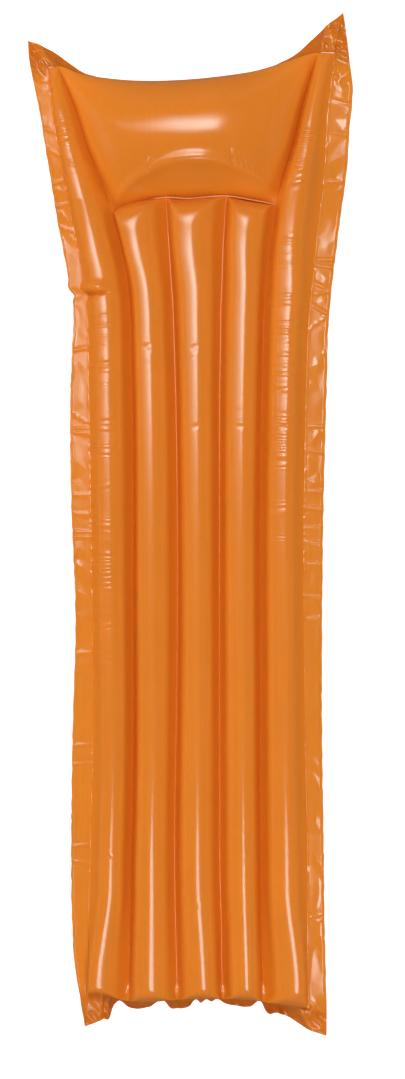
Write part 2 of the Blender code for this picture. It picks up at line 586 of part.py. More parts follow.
def build_valve(prefix, at, chamber, plastic, clear_film):
    """A stop valve in a chamber's underside: a ring, a folding web, a stem with its plug on a strap, and a flap."""
    at = (*at, 0.0)
    seat = FILM + GAP
    stem_top = STEM_MOUTH + STEM_LENGTH

    hole = [(0, -CUTTER_REACH), (VALVE_HOLE, -CUTTER_REACH), (VALVE_HOLE, CUTTER_REACH), (0, CUTTER_REACH)]
    hole = finish(f"{prefix}_hole", move(revolve(hole, False), at), clear_film, at)
    boolean(chamber, hole, "DIFFERENCE")

    ring = [(VALVE_HOLE, seat), (BASE_RADIUS, seat), (BASE_RADIUS, seat + BASE_THICKNESS),
            (VALVE_HOLE, seat + BASE_THICKNESS)]
    finish(f"{prefix}_base_ring", move(revolve(ring, True), at), plastic, at)

    foot = VALVE_HOLE - GAP
    neck = STEM_RADIUS + GAP
    web = [(foot, seat), (foot, WEB_SHOULDER), (neck, WEB_TOP + WEB_THICKNESS), (neck, WEB_TOP - WEB_THICKNESS),
           (foot - WEB_THICKNESS, WEB_SHOULDER - WEB_THICKNESS / 2), (foot - WEB_THICKNESS, seat)]
    finish(f"{prefix}_web", move(revolve(web, True), at), plastic, at)

    rim_top = STEM_MOUTH + RIM_THICKNESS
    stem = [(STEM_BORE, STEM_MOUTH), (RIM_RADIUS, STEM_MOUTH), (RIM_RADIUS, rim_top), (STEM_RADIUS, rim_top),
            (STEM_RADIUS, stem_top), (STEM_BORE, stem_top)]
    stem = finish(f"{prefix}_stem", move(revolve(stem, True), at), plastic, at)
    lug_low = (-HINGE_REACH - HINGE_LUG, -STRAP_WIDTH / 2, STEM_MOUTH)
    lug_high = (-(STEM_RADIUS + STEM_BORE) / 2, STRAP_WIDTH / 2, rim_top)
    lug = finish(f"{prefix}_lug", move(box(lug_low, lug_high), at), plastic, at)
    boolean(stem, lug, "UNION")

    head_top = STEM_MOUTH - GAP
    head_low = head_top - PLUG_HEAD_THICKNESS
    strap_middle = (head_top + head_low) / 2
    hinge = (at[0] - HINGE_REACH, at[1], strap_middle)
    bung = STEM_BORE - GAP
    plug = [(0, head_low), (PLUG_HEAD_RADIUS, head_low), (PLUG_HEAD_RADIUS, head_top), (bung, head_top),
            (bung, head_top + PLUG_DEPTH / 2), (PLUG_TIP_RADIUS, head_top + PLUG_DEPTH), (0, head_top + PLUG_DEPTH)]
    plug = finish(f"{prefix}_plug", move(revolve(plug, False), at), plastic, hinge)
    half = STRAP_THICKNESS / 2
    strap_low = (-HINGE_REACH, -STRAP_WIDTH / 2, strap_middle - half)
    strap_high = (PLUG_HEAD_RADIUS + PLUG_TAB_LENGTH, STRAP_WIDTH / 2, strap_middle + half)
    strap = finish(f"{prefix}_strap", move(box(strap_low, strap_high), at), plastic, hinge)
    knuckle = finish(f"{prefix}_strap_knuckle", pin(half, STRAP_WIDTH, hinge), plastic, hinge)
    boolean(plug, strap, "UNION")
    boolean(plug, knuckle, "UNION")

    flap_low = stem_top + GAP
    flap_radius = STEM_BORE + FLAP_OVERLAP
    flap_hinge = (at[0] - flap_radius - FLAP_THICKNESS / 2, at[1], flap_low + FLAP_THICKNESS / 2)
    flap = [(0, flap_low), (flap_radius, flap_low), (flap_radius, flap_low + FLAP_THICKNESS),
            (0, flap_low + FLAP_THICKNESS)]
    flap = finish(f"{prefix}_flap", move(revolve(flap, False), at), clear_film, flap_hinge)
    tail_low = (-flap_radius - FLAP_THICKNESS / 2, -STRAP_WIDTH / 2, flap_low)
    tail_high = (0, STRAP_WIDTH / 2, flap_low + FLAP_THICKNESS)
    tail = finish(f"{prefix}_flap_tail", move(box(tail_low, tail_high), at), clear_film, flap_hinge)
    boolean(flap, tail, "UNION")


def build_valves(tubes, pillow, plastic, clear_film):
    body_y = FOOT_Y + BODY_VALVE_ABOVE_FOOT
    body_x = (seam_x(4, body_y) + seam_x(5, body_y)) / 2
    build_valve("body_valve", (body_x, body_y), tubes["outer_right_tube"], plastic, clear_film)
    pillow_y = PILLOW_SEAM_Y + PILLOW_VALVE_ABOVE_SEAM
    build_valve("pillow_valve", (PILLOW_VALVE_X, pillow_y), pillow, plastic, clear_film)


def clear_scene():
    for obj in list(bpy.data.objects):
        bpy.data.objects.remove(obj, do_unlink=True)


def main():
    clear_scene()
    film = material("orange_pvc_film", (0.73, 0.235, 0.045), 0.22)
    plastic = material("soft_pvc_moulding", (0.80, 0.78, 0.72), 0.35)
    clear_film = material("clear_pvc_film", (0.84, 0.84, 0.80), 0.15)
    tubes = build_tubes(film)
    build_foot_channel(film)
    pillow = build_pillow(film)
    build_welds(film)
    build_margins(film)
    build_valves(tubes, pillow, plastic, clear_film)


main()
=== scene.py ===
"""Looks of an inflatable pool mattress: film chambers, welds, crinkled margins and stop valves.

Lengths are in metres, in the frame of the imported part. The head is at +Y and the mattress lies on Z = 0.
Every chamber and margin follows the same weld lines as the part, and stands for the part's plainer solid.
"""

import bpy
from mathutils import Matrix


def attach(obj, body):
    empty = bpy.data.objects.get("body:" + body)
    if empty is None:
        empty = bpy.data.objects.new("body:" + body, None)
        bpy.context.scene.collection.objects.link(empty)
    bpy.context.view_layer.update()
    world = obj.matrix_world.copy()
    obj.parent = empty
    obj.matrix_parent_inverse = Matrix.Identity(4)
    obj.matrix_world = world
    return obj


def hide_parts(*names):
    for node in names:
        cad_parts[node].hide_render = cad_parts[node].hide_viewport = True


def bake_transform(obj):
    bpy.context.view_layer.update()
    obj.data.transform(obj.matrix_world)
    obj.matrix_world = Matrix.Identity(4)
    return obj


bl_info = {
    "name": "Inflatable pool mattress",
    "version": (1, 0, 0),
    "blender": (4, 5, 0),
    "location": "View3D > Sidebar > Mattress",
    "description": "Builds the film chambers, welds, margins and valves of an inflatable pool mattress",
    "category": "Add Mesh",
}

from math import pi, radians

import bmesh
import bpy
import numpy as np
from mathutils import Vector, noise
from mathutils.geometry import delaunay_2d_cdt

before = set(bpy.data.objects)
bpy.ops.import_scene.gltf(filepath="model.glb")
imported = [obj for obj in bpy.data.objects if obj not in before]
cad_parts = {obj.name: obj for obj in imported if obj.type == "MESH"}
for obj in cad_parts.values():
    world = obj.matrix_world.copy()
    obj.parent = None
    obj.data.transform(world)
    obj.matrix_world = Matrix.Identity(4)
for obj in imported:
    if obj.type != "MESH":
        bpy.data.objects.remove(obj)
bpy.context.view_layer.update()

# Film thickness, and the widths of the welds
FILM = 0.0003
TUBE_WELD = 0.0030
PILLOW_WELD = 0.0040
# How wide each weld line shows between the skins beside it
WELD_SHOWN = (0.0006, 0.0, 0.0015, 0.0015, 0.0, 0.0006)
# Widths of the tubes, left to right, each from weld line to weld line when inflated
TUBE_WIDTHS = (0.0747, 0.0660, 0.0764, 0.0747, 0.0791)
LEFT_SEAM_X = -0.1705
# Half the height of a free tube, how much the floor flattens it, and its most as a share of the tube's width
TUBE_HALF_HEIGHT = 0.0372
TUBE_FLATTENING = 0.0027
TALLEST_SHARE = 0.56
# How far each tube's crest leans to the right of its middle at its foot end, before it, along the body and
# at the head, as shares of its width
TUBE_LEANS = (
    (-0.32, -0.04, -0.118, -0.188), (-0.08, -0.065, -0.12, -0.24), (0.06, -0.025, -0.06, -0.155),
    (0.085, 0.055, 0.0, -0.09), (0.26, 0.05, 0.03, -0.085),
)
# Where the lean changes from the second value to the first, the third and the fourth, as (y, length)
LEAN_CHANGES = ((-0.62, -0.18), (-0.60, 0.60), (0.40, 0.10))
# How steeply a tube's top meets its welds, between tubes and outside them, as a multiple of the half height
# over the half width, and how softly such slopes turn into the crest
VALLEY_SLOPE = 2.1
OUTER_SLOPE = 1.7
CREST_SOFTNESS = 0.16

# The pillow's seam, and lengths along the mattress from it. The shoulder is where the outer tubes fold.
PILLOW_SEAM_Y = 0.569
BODY_LENGTH = 1.399
FOOT_CHANNEL = 0.034
CHANNEL_NECK = 0.005
SHOULDER = 0.168
PILLOW_LENGTH = 0.204

# The pillow, and how it lifts the weld lines round it off the floor
PILLOW_RISE = 0.070
PILLOW_FLATTENING = 0.016
HEAD_SEAM_HEIGHT = 0.060
LIFT_BEFORE_SEAM = 0.100
LIFT_LENGTH = 0.250

# How far each weld line strays to the right of its straight run, as (distance above the pillow seam, stray)
SEAM_OFFSETS = (
    ((-1.4, -0.007), (-1.25, -0.006), (-0.94, 0.001), (-0.7, 0.0), (-0.35, -0.006), (-0.2, -0.009),
     (-0.1, -0.022), (-0.04, -0.035), (0.05, -0.052), (0.15, -0.068), (0.23, -0.076)),
    ((-1.38, -0.012), (-1.23, -0.009), (-1.15, -0.0085), (-1.07, -0.006), (-0.94, -0.0037), (-0.7, -0.0036),
     (-0.45, -0.0038), (-0.34, -0.0052), (-0.24, -0.0074), (-0.187, -0.0095), (-0.135, -0.015),
     (-0.083, -0.0245), (-0.031, -0.038), (0.013, -0.054), (0.082, -0.082), (0.152, -0.104),
     (0.225, -0.134)),
    ((-1.4, 0.0075), (-1.28, 0.0046), (-1.2, 0.0031), (-1.05, 0.0031), (-0.95, 0.0048), (-0.8, 0.007),
     (-0.6, 0.0075), (-0.45, 0.0062), (-0.36, 0.0048), (-0.29, 0.0031), (-0.24, 0.0013), (-0.187, -0.0004),
     (-0.135, -0.0039), (-0.083, -0.0074), (-0.031, -0.0106), (0.0, -0.0122)),
    ((-1.4, 0.011), (-1.3335, 0.0083), (-1.28, 0.008), (-1.2, 0.0055), (-1.05, 0.0048), (-0.8, 0.0045),
     (-0.5, 0.0045), (-0.34, 0.0048), (-0.24, 0.0062), (-0.187, 0.007), (-0.135, 0.009), (-0.083, 0.0108),
     (-0.031, 0.0138), (0.0, 0.0165)),
    ((-1.38, 0.0052), (-1.229, 0.002523), (-1.15, 0.002), (-1.05, 0.001), (-0.8, 0.001), (-0.5, 0.001),
     (-0.4, 0.0027), (-0.3, 0.0045), (-0.24, 0.0062), (-0.187, 0.008), (-0.135, 0.0115), (-0.083, 0.0182),
     (-0.031, 0.0255), (0.013, 0.033), (0.082, 0.054), (0.152, 0.071), (0.245, 0.098)),
    ((-1.4, 0.004), (-1.125, 0.003), (-0.98, 0.0), (-0.35, 0.001), (-0.227, 0.005), (-0.13, 0.014),
     (-0.043, 0.023), (0.051, 0.033), (0.136, 0.037), (0.245, 0.05)),
)
# The pillow seam, the head edge and the foot weld, as (x, distance towards the head)
PILLOW_SEAM = (
    (-0.1364, -0.027), (-0.117, -0.02), (-0.086, -0.008), (-0.051, 0.0), (0.004, -0.001), (0.046, 0.003),
    (0.063, 0.003), (0.11, -0.004), (0.1485, -0.011),
)
HEAD_EDGE = (
    (-0.247, 0.02), (-0.227, 0.022), (-0.192, 0.01), (-0.138, 0.001), (0.004, 0.0), (0.06, 0.006),
    (0.1155, 0.015), (0.162, 0.029), (0.222, 0.046), (0.25, 0.046),
)
FOOT_EDGE = (
    (-0.18, 0.014), (-0.15, 0.012), (-0.12, 0.003), (0.0, 0.004), (0.12, 0.001), (0.155, -0.005),
    (0.21, -0.012),
)

# The kink of the leftmost weld at the shoulder, as (shift to the right, distance above it, breadth)
KINK = ((0.0050, -0.002, 0.006), (-0.0040, 0.014, 0.010))
# How far the outer tubes and their welds stop before the head edge, and the welds run into the foot channel
HEAD_TUBE_GAP = 0.0008
HEAD_WELD_GAP = 0.001
WELD_LAP = 0.002

# Where the two valves are on the underside, how wide the film's hole for each is, and how low cut film lies
BODY_VALVE = (0.16403, -0.660)
PILLOW_VALVE = (0.080, 0.669)
VALVE_HOLE = 0.0184
ON_FLOOR = 0.002
# The folding web of a valve: the radius of its foot in the base ring and of its neck round the stem, and the
# heights of its foot, its shoulder and its top
WEB_FOOT = 0.00915
WEB_NECK = 0.00525
WEB_SEAT = 0.00034
WEB_SHOULDER = 0.0032
WEB_TOP = 0.009
WEB_THICKNESS = 0.0005
WEB_POINTS = 48

# Margins: MARGIN_FILM is their width laid flat. The lists give the width seen from above, as (distance above
# the pillow seam, width) for the sides and (x, width) for the ends.
MARGIN_FILM = 0.045
LEFT_MARGIN = (
    (-1.399, 0.021), (-1.32, 0.026), (-0.97, 0.036), (-0.7, 0.03), (-0.56, 0.034), (-0.28, 0.03),
    (-0.17, 0.024), (-0.14, 0.026), (0.065, 0.023), (0.17, 0.025), (0.222, 0.034),
)
RIGHT_MARGIN = (
    (-1.399, 0.033), (-1.27, 0.03), (-0.97, 0.03), (-0.56, 0.034), (-0.3, 0.036), (-0.14, 0.035),
    (-0.05, 0.037), (0.1, 0.04), (0.18, 0.04), (0.24, 0.032),
)
HEAD_MARGIN = (
    (-0.227, 0.018), (-0.192, 0.009), (-0.138, 0.005), (-0.09, 0.005), (0.07, 0.005), (0.11, 0.005),
    (0.17, 0.009), (0.222, 0.024),
)
FOOT_MARGIN = (
    (-0.178, 0.044), (-0.15, 0.036), (-0.138, 0.03), (-0.136, 0.02), (-0.128, 0.006), (-0.108, 0.015),
    (-0.073, 0.013), (-0.043, 0.007), (-0.037, 0.016), (-0.02, 0.019), (-0.004, 0.018), (0.011, 0.004),
    (0.018, 0.01), (0.028, 0.004), (0.037, 0.008), (0.046, 0.004), (0.06, 0.011), (0.083, 0.016),
    (0.104, 0.016), (0.126, 0.007), (0.132, 0.019), (0.152, 0.018), (0.168, 0.02), (0.185, 0.03),
)
# How far the margins' corners at the foot and at the head reach out from the corners of the welds
LEFT_CORNERS = ((-0.006, -0.057), (-0.0356, 0.046))
RIGHT_CORNERS = ((0.033, -0.048), (0.015, 0.07))
CORNER_LENGTH = 0.07
# How high the free edges hang and the film lies at the lowest, how far the side margins reach under the tubes
# and how far they hang at most, the calm run beside each corner, and the height of the corners' crumples
MARGIN_CLEARANCE = 0.004
LOWEST_MARGIN = 0.0012
MARGIN_TUCK = 0.001
SIDE_MARGIN_DROP = 0.0026
CORNER_CALM = 0.015
CORNER_CRUMPLE = 0.0045
# Heights of the puckers and the dashed bead along a margin's weld and of the bead along its free edge, and
# how far that edge strays
SEAM_PUCKER = 0.0005
SEAM_BEAD = 0.0010
EDGE_BEAD = 0.0006
EDGE_STRAY = 0.0007
# Creases across the side margins, as (y at the weld, y at the free edge, share of the full fold height)
LEFT_CREASES = (
    (0.31, 0.304, 0.9), (0.176, 0.196, 1.0), (0.17, 0.166, 0.9), (0.16, 0.162, 0.8), (0.052, 0.052, 0.4),
    (0.018, 0.02, 0.5), (-0.014, -0.012, 0.9), (-0.02, -0.02, 0.9), (-0.222, -0.224, 0.5),
    (-0.382, -0.384, 0.6), (-0.415, -0.417, 0.5), (0.64, 0.655, 0.8), (0.6, 0.592, 0.7), (0.68, 0.69, 0.8),
    (0.56, 0.553, 0.6), (0.51, 0.52, 0.5), (-0.556, -0.56, 0.8), (-0.59, -0.586, 0.6),
)
RIGHT_CREASES = (
    (0.462, 0.462, 0.9), (0.454, 0.448, 0.9), (0.424, 0.408, 0.9), (0.402, 0.407, 0.7), (0.386, 0.366, 0.9),
    (0.34, 0.366, 0.6), (0.172, 0.172, 0.7), (0.13, 0.126, 0.5), (0.058, 0.058, 0.6), (0.03, 0.028, 0.7),
    (-0.006, -0.006, 0.8), (-0.03, -0.032, 0.9), (-0.068, -0.07, 0.6), (-0.124, -0.126, 0.6),
    (-0.165, -0.163, 0.7), (0.595, 0.597, 0.5), (0.684, 0.676, 0.7), (-0.676, -0.69, 0.8),
    (-0.686, -0.678, 0.7), (0.74, 0.728, 0.7),
)
CREASE_BREADTH = 0.0050

# Worked out from the above
SEAM_HEIGHT = TUBE_HALF_HEIGHT - TUBE_FLATTENING
HEAD_Y = PILLOW_SEAM_Y + PILLOW_LENGTH
FOOT_Y = PILLOW_SEAM_Y - BODY_LENGTH
CHANNEL_Y = FOOT_Y + FOOT_CHANNEL
SHOULDER_Y = PILLOW_SEAM_Y - SHOULDER

# Picture: the photo's size in pixels, the size of a pixel on the mattress, and the pixel over the origin
PHOTO_WIDTH = 405
PHOTO_HEIGHT = 1079
PIXEL = 0.001737
ORIGIN_PIXEL = (190.2, 524.9)


def linear(hex_colour):
    """An sRGB hex colour as linear red, green and blue."""
    parts = [int(hex_colour[i:i + 2], 16) / 255 for i in (1, 3, 5)]
    return tuple(p / 12.92 if p <= 0.04045 else ((p + 0.055) / 1.055) ** 2.4 for p in parts)


class MattressSizes(bpy.types.PropertyGroup):
    grid: bpy.props.FloatProperty(name="Mesh spacing", description="Distance between points of the film",
                                  default=0.0042, min=0.001, unit="LENGTH")
    ripple_depth: bpy.props.FloatProperty(name="Ripple depth", description="Depth of the tubes' ripples",
                                          default=0.00055, min=0.0, unit="LENGTH")
    fold_height: bpy.props.FloatProperty(name="Fold height", description="Height of the margins' folds",
                                         default=0.0020, min=0.0, unit="LENGTH")


class MattressColours(bpy.types.PropertyGroup):
    film: bpy.props.FloatVectorProperty(name="Film", description="Colour of the PVC film", subtype="COLOR",
                                        default=linear("#DE7E24"), min=0.0, max=1.0)
    moulding: bpy.props.FloatVectorProperty(name="Valve moulding", description="Colour of the moulding",
                                            subtype="COLOR", default=linear("#E8E4DA"), min=0.0, max=1.0)
    flap: bpy.props.FloatVectorProperty(name="Valve flap", description="Colour of the valves' clear film",
                                        subtype="COLOR", default=linear("#ECECE6"), min=0.0, max=1.0)
    floor: bpy.props.FloatVectorProperty(name="Floor", description="Colour of the floor", subtype="COLOR",
                                         default=linear("#B4B4B4"), min=0.0, max=1.0)


def sizes():
    return bpy.context.scene.mattress_sizes


def colours():
    return bpy.context.scene.mattress_colours


# Weld lines

def smooth_line(points, at):
    """Values at places along a smooth line through points, held level past its ends."""
    along, value = np.array(points, float).T
    slopes = np.gradient(value, along)
    at = np.clip(at, along[0], along[-1])
    i = np.clip(np.searchsorted(along, at, side="right") - 1, 0, len(along) - 2)
    span = along[i + 1] - along[i]
    t = (at - along[i]) / span
    return ((2 * t**3 - 3 * t**2 + 1) * value[i] + (t**3 - 2 * t**2 + t) * span * slopes[i]
            + (3 * t**2 - 2 * t**3) * value[i + 1] + (t**3 - t**2) * span * slopes[i + 1])


def ease(t):
    """Rises smoothly from 0 to 1 as t does."""
    t = np.clip(t, 0.0, 1.0)
    return t * t * (3 - 2 * t)


def faded(at, start, end, length):
    """1 between start and end, and easing to 0 over a length before each."""
    return ease((at - start) / length) * ease((end - at) / length)


def blend(a, b, share):
    return a + (b - a) * share


def bump(t):
    """A bell that is 1 at 0 and fades out within about 2 either way."""
    return np.exp(-np.asarray(t, float) ** 2)


def kink(y):
    """How far the leftmost weld is drawn in at the shoulder, where its tube folds over."""
    return sum(shift * bump((y - SHOULDER_Y - above) / breadth) for shift, above, breadth in KINK)


def seam_x(k, y):
    """Where weld line k of six, left to right, lies at y."""
    straight = LEFT_SEAM_X + sum(TUBE_WIDTHS[:k]) + smooth_line(SEAM_OFFSETS[k], y - PILLOW_SEAM_Y)
    return straight + (kink(y) if k == 0 else 0)


def seam_z(y):
    """Height of the weld plane: low along the body, lifted by the pillow at the head."""
    return blend(SEAM_HEIGHT, HEAD_SEAM_HEIGHT, ease((y - PILLOW_SEAM_Y + LIFT_BEFORE_SEAM) / LIFT_LENGTH))


def skin_edges(first, last, y, spread=1.0):
    """The left and the right edge at y of the skins between two weld lines."""
    left = seam_x(first, y) + WELD_SHOWN[first] / 2 * spread
    return left, seam_x(last, y) - WELD_SHOWN[last] / 2 * spread


def crossing_y(k, edge_y, near_y):
    """Where weld line k meets an edge that is near a place along it."""
    return float(edge_y(seam_x(k, near_y)))


def tube_lean(k, y):
    """How far the crest of tube k leans at y, as a share of its width."""
    tip, foot, body, head = TUBE_LEANS[k]
    to_tip, to_body, to_head = (ease((y - start) / length) for start, length in LEAN_CHANGES)
    return blend(blend(blend(foot, tip, to_tip), body, to_body), head, to_head)


def pillow_seam_y(x):
    return PILLOW_SEAM_Y + smooth_line(PILLOW_SEAM, x)


def head_edge_y(x):
    return HEAD_Y + smooth_line(HEAD_EDGE, x)


def foot_edge_y(x):
    return FOOT_Y + smooth_line(FOOT_EDGE, x)


def lower_of(a, b):
    """The lower of two heights, rounded over where they cross, which leaves the ridges of a blown-up end."""
    share = np.clip(0.5 + 0.5 * (b - a) / CREST_SOFTNESS, 0, 1)
    return blend(b, a, share) - CREST_SOFTNESS * share * (1 - share)


def section(k, angle):
    """Share of tube k's half height at an angle round it. Its top leaves the welds in open valleys."""
    side = np.abs(np.sin(angle))
    outer = ((k == 0) & (np.cos(angle) < 0)) | ((k == 4) & (np.cos(angle) > 0))
    slope = np.where(outer, OUTER_SLOPE, VALLEY_SLOPE)
    slanted = np.maximum(lower_of(side, slope * (1 - np.abs(np.cos(angle)))), 0)
    return np.where(np.sin(angle) > 0, slanted, side)


# Film meshes

def film_grid(columns, rows, place, bm=None):
    """A sheet of film, added to bm if given. place turns arrays of shares across and along into points."""
    bm = bm or bmesh.new()
    made = bmesh.ops.create_grid(bm, x_segments=columns, y_segments=rows, size=1.0)["verts"]
    shares = np.array([v.co[:2] for v in made]) * 0.5 + 0.5
    for vert, point in zip(made, np.stack(place(shares[:, 0], shares[:, 1]), axis=1)):
        vert.co = point
    return bm


def cut_hole(bm, at):
    """Opens a valve's round hole through the film that lies on the floor, if the film is there."""
    middle = Vector(at)
    radius = VALVE_HOLE / 2
    middles = {f: f.calc_center_median() for f in bm.faces}
    cut = [f for f, m in middles.items() if abs(m.z) < ON_FLOOR and (m.xy - middle).length < radius]
    bmesh.ops.delete(bm, geom=cut, context="FACES")
    for vert in bm.verts:
        away = vert.co.xy - middle
        if vert.is_boundary and abs(vert.co.z) < ON_FLOOR and 0 < away.length < 1.4 * radius:
            vert.co.xy = middle + away.normalized() * radius


def new_object(name, bm, material):
    mesh = bpy.data.meshes.new(name)
    bm.to_mesh(mesh)
    bm.free()
    mesh.materials.append(material)
    obj = bpy.data.objects.new(name, mesh)
    bpy.context.scene.collection.objects.link(obj)
    return obj


def finish(name, bm, material, body="mattress", nodes=(), wall=0.0):
    """Makes a piece of a bmesh, in its material, riding on its body if it has one, in place of its nodes."""
    bmesh.ops.remove_doubles(bm, verts=bm.verts, dist=0.00002)
    bmesh.ops.dissolve_degenerate(bm, dist=0.000005, edges=bm.edges)
    bmesh.ops.recalc_face_normals(bm, faces=bm.faces)
    if bm.calc_volume(signed=True) < 0:
        bmesh.ops.reverse_faces(bm, faces=bm.faces)
    obj = new_object(name, bm, material)
    obj.data.shade_smooth()
    if wall:
        skin = obj.modifiers.new("wall", "SOLIDIFY")
        skin.thickness = wall
        skin.offset = -1
    if body:
        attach(obj, body)
    if nodes:
        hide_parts(*nodes)
    return obj


def mark_painted_shading(obj, depth):
    """Writes for the material how much painted light or shade each point gets, from 0 on the crests to 1 in
    the valleys.
    """
    points = np.empty(len(obj.data.vertices) * 3, np.float32)
    obj.data.vertices.foreach_get("co", points)
    mark = obj.data.attributes.new("painted_shading", "FLOAT", "POINT")
    mark.data.foreach_set("value", depth(*points.reshape(-1, 3).T).astype(np.float32))


def painted_valley_light_share(rise):
    """How deep points of a chamber of this rise lie, from their height over the welds beside it. That share
    paints light into the valleys.
    """
    return lambda x, y, z: np.clip(1 - np.abs(z - seam_z(y)) / rise, 0, 1) ** 2


def count_of(length):
    return max(int(round(length / sizes().grid)), 2)


def noise_line(at, seed):
    """Smooth noise from about -1 to 1 along a line."""
    return np.array([noise.noise(Vector((a, seed, 0.5))) for a in np.ravel(at)]).reshape(np.shape(at)) * 1.6


def ripples(y, x, start, end, spacing, seed):
    """Fine crosswise ripples along part of a tube, uneven in spacing and depth. Their full depth is 1."""
    fade = faded(y, start, end, 0.15 * (end - start))
    places = np.linspace(start - spacing, end + spacing, 160)
    stray = np.interp(y, places, noise_line(places / (spacing * 4), seed)) * spacing * 1.4
    strength = np.interp(y, places, np.clip(0.60 + noise_line(places / (spacing * 5), seed + 9), 0, 1))
    slant = 0.12 * x * np.interp(y, places, noise_line(places / (spacing * 7), seed + 4))
    return fade * strength * np.sin(2 * pi * (y + stray + slant) / spacing)


def crease(x, y, at, turn, length, width):
    """A short groove at a point, turned by so many degrees from +X. Its depth is 1."""
    turn = radians(turn)
    dx, dy = x - at[0], y - at[1]
    along = dx * np.cos(turn) + dy * np.sin(turn)
    across = dy * np.cos(turn) - dx * np.sin(turn)
    return bump(along / length) * bump(across / width)


# Ripples of each tube: (from y, to y, spacing, share of the full depth)
TUBE_RIPPLES = {
    0: ((0.175, 0.395, 0.005, 1.0), (0.05, 0.175, 0.0062, 0.6), (-0.3, 0.05, 0.0085, 0.35),
        (0.6, 0.735, 0.0056, 1.6)),
    1: ((0.25, 0.35, 0.006, 0.25),),
    2: ((0.28, 0.33, 0.005, 0.3),),
    3: ((0.15, 0.3, 0.009, 0.25),),
    4: ((0.225, 0.42, 0.0044, 0.8), (0.42, 0.54, 0.0062, 1.0), (0.57, 0.72, 0.0085, 1.6),
        (-0.06, 0.225, 0.008, 0.45)),
}
# Where the ripples are deepest, as a share of the half turn over the crest, and how they fade
RIPPLES_AT = 0.56
RIPPLES_FADE = 0.9
# Small puckers on the crests: (x, y, turn, length, width)
PUCKERS = (
    (-0.076, 0.309, 30, 0.006, 0.0025), (-0.073, 0.302, -30, 0.006, 0.0022),
    (0.008, 0.309, 25, 0.006, 0.0022), (0.007, 0.301, -35, 0.007, 0.0025), (0.009, 0.17, 20, 0.006, 0.0022),
    (0.087, 0.17, -10, 0.006, 0.0022), (0.16, 0.171, 5, 0.008, 0.002), (0.162, 0.166, 0, 0.008, 0.0018),
    (0.0095, -0.66, 40, 0.006, 0.0025), (-0.141, -0.573, 0, 0.005, 0.002), (-0.143, 0.18, 4, 0.012, 0.002),
    (-0.141, 0.171, -3, 0.012, 0.002), (-0.143, 0.161, 2, 0.012, 0.0018), (0.157, 0.235, 15, 0.008, 0.0022),
    (0.16, 0.228, -10, 0.009, 0.002),
)
TUBE_PUCKER_DEPTH = 0.0008
# The fold of the left outer tube: its height above the shoulder, how it curves and the x where it is lowest;
# where it starts, as shares of the half turn; its groove and swell, as (height, distance above it, breadth)
FOLD_LINE = (0.001, 2.2, -0.163)
FOLD_STARTS = (0.34, 0.20)
FOLD_FORM = ((-0.0085, 0.0, 0.0026), (0.0045, 0.010, 0.009))
# Points round a tube, rows for each mesh spacing along rippled and smooth tubes, and points across and along
# the foot channel for each tube
TUBE_POINTS = 84
RIPPLED_ROWS = 2.6
SMOOTH_ROWS = 1.4
CHANNEL_POINTS = (42, 26)
TUBE_END_ROUNDING = 0.062
HEAD_TUBE_END_ROUNDING = 0.034
# The share of a tube's rows that lie before its rounded end
ROWS_BEFORE_END = 0.86


def tube_skin(k, angle, y, height):
    """Points of tube k at places along it, at an angle round it that starts at its right weld."""
    rise = np.sin(angle)
    upper = rise > 0
    share = 0.5 + 0.5 * np.cos(angle) + np.where(upper, tube_lean(k, y) * rise**2, 0)
    x = blend(*skin_edges(k, k + 1, y), share)
    z = seam_z(y) + height
    depth = sum((s * ripples(y, x, low, high, gap, 3.1 + k) for low, high, gap, s in TUBE_RIPPLES[k]), 0 * y)
    depth = depth * sizes().ripple_depth * bump((angle - RIPPLES_AT * pi) / RIPPLES_FADE)
    if k == 0:
        outside = ease((angle / pi - FOLD_STARTS[0]) / FOLD_STARTS[1]) * upper
        above_shoulder, curve, lowest_x = FOLD_LINE
        fold_y = SHOULDER_Y + above_shoulder + curve * (x - lowest_x) ** 2
        for swell, above, breadth in FOLD_FORM:
            depth = depth + swell * outside * bump((y - fold_y - above) / breadth)
    for px, py, turn, length, width in PUCKERS:
        depth = depth - TUBE_PUCKER_DEPTH * crease(x, y, (px, py), turn, length, width) * upper
    x = x + depth * np.cos(angle)
    z = z + depth * rise
    return x, y, np.maximum(z, 0)


def end_profile(distance, rounding):
    """Share of the full height at a distance from a shut end."""
    return np.sqrt(np.maximum(1 - (1 - np.clip(distance / rounding, 0, 1)) ** 2, 0))


def tube_rows(share, start, end, rounding):
    """Places along a tube, closer together over its rounded end."""
    if not rounding:
        return blend(start, end, share)
    straight = blend(start, end - rounding, share / ROWS_BEFORE_END)
    turned = np.clip((share - ROWS_BEFORE_END) / (1 - ROWS_BEFORE_END), 0, 1) * pi / 2
    return np.where(share < ROWS_BEFORE_END, straight, end - rounding + rounding * np.sin(turned))


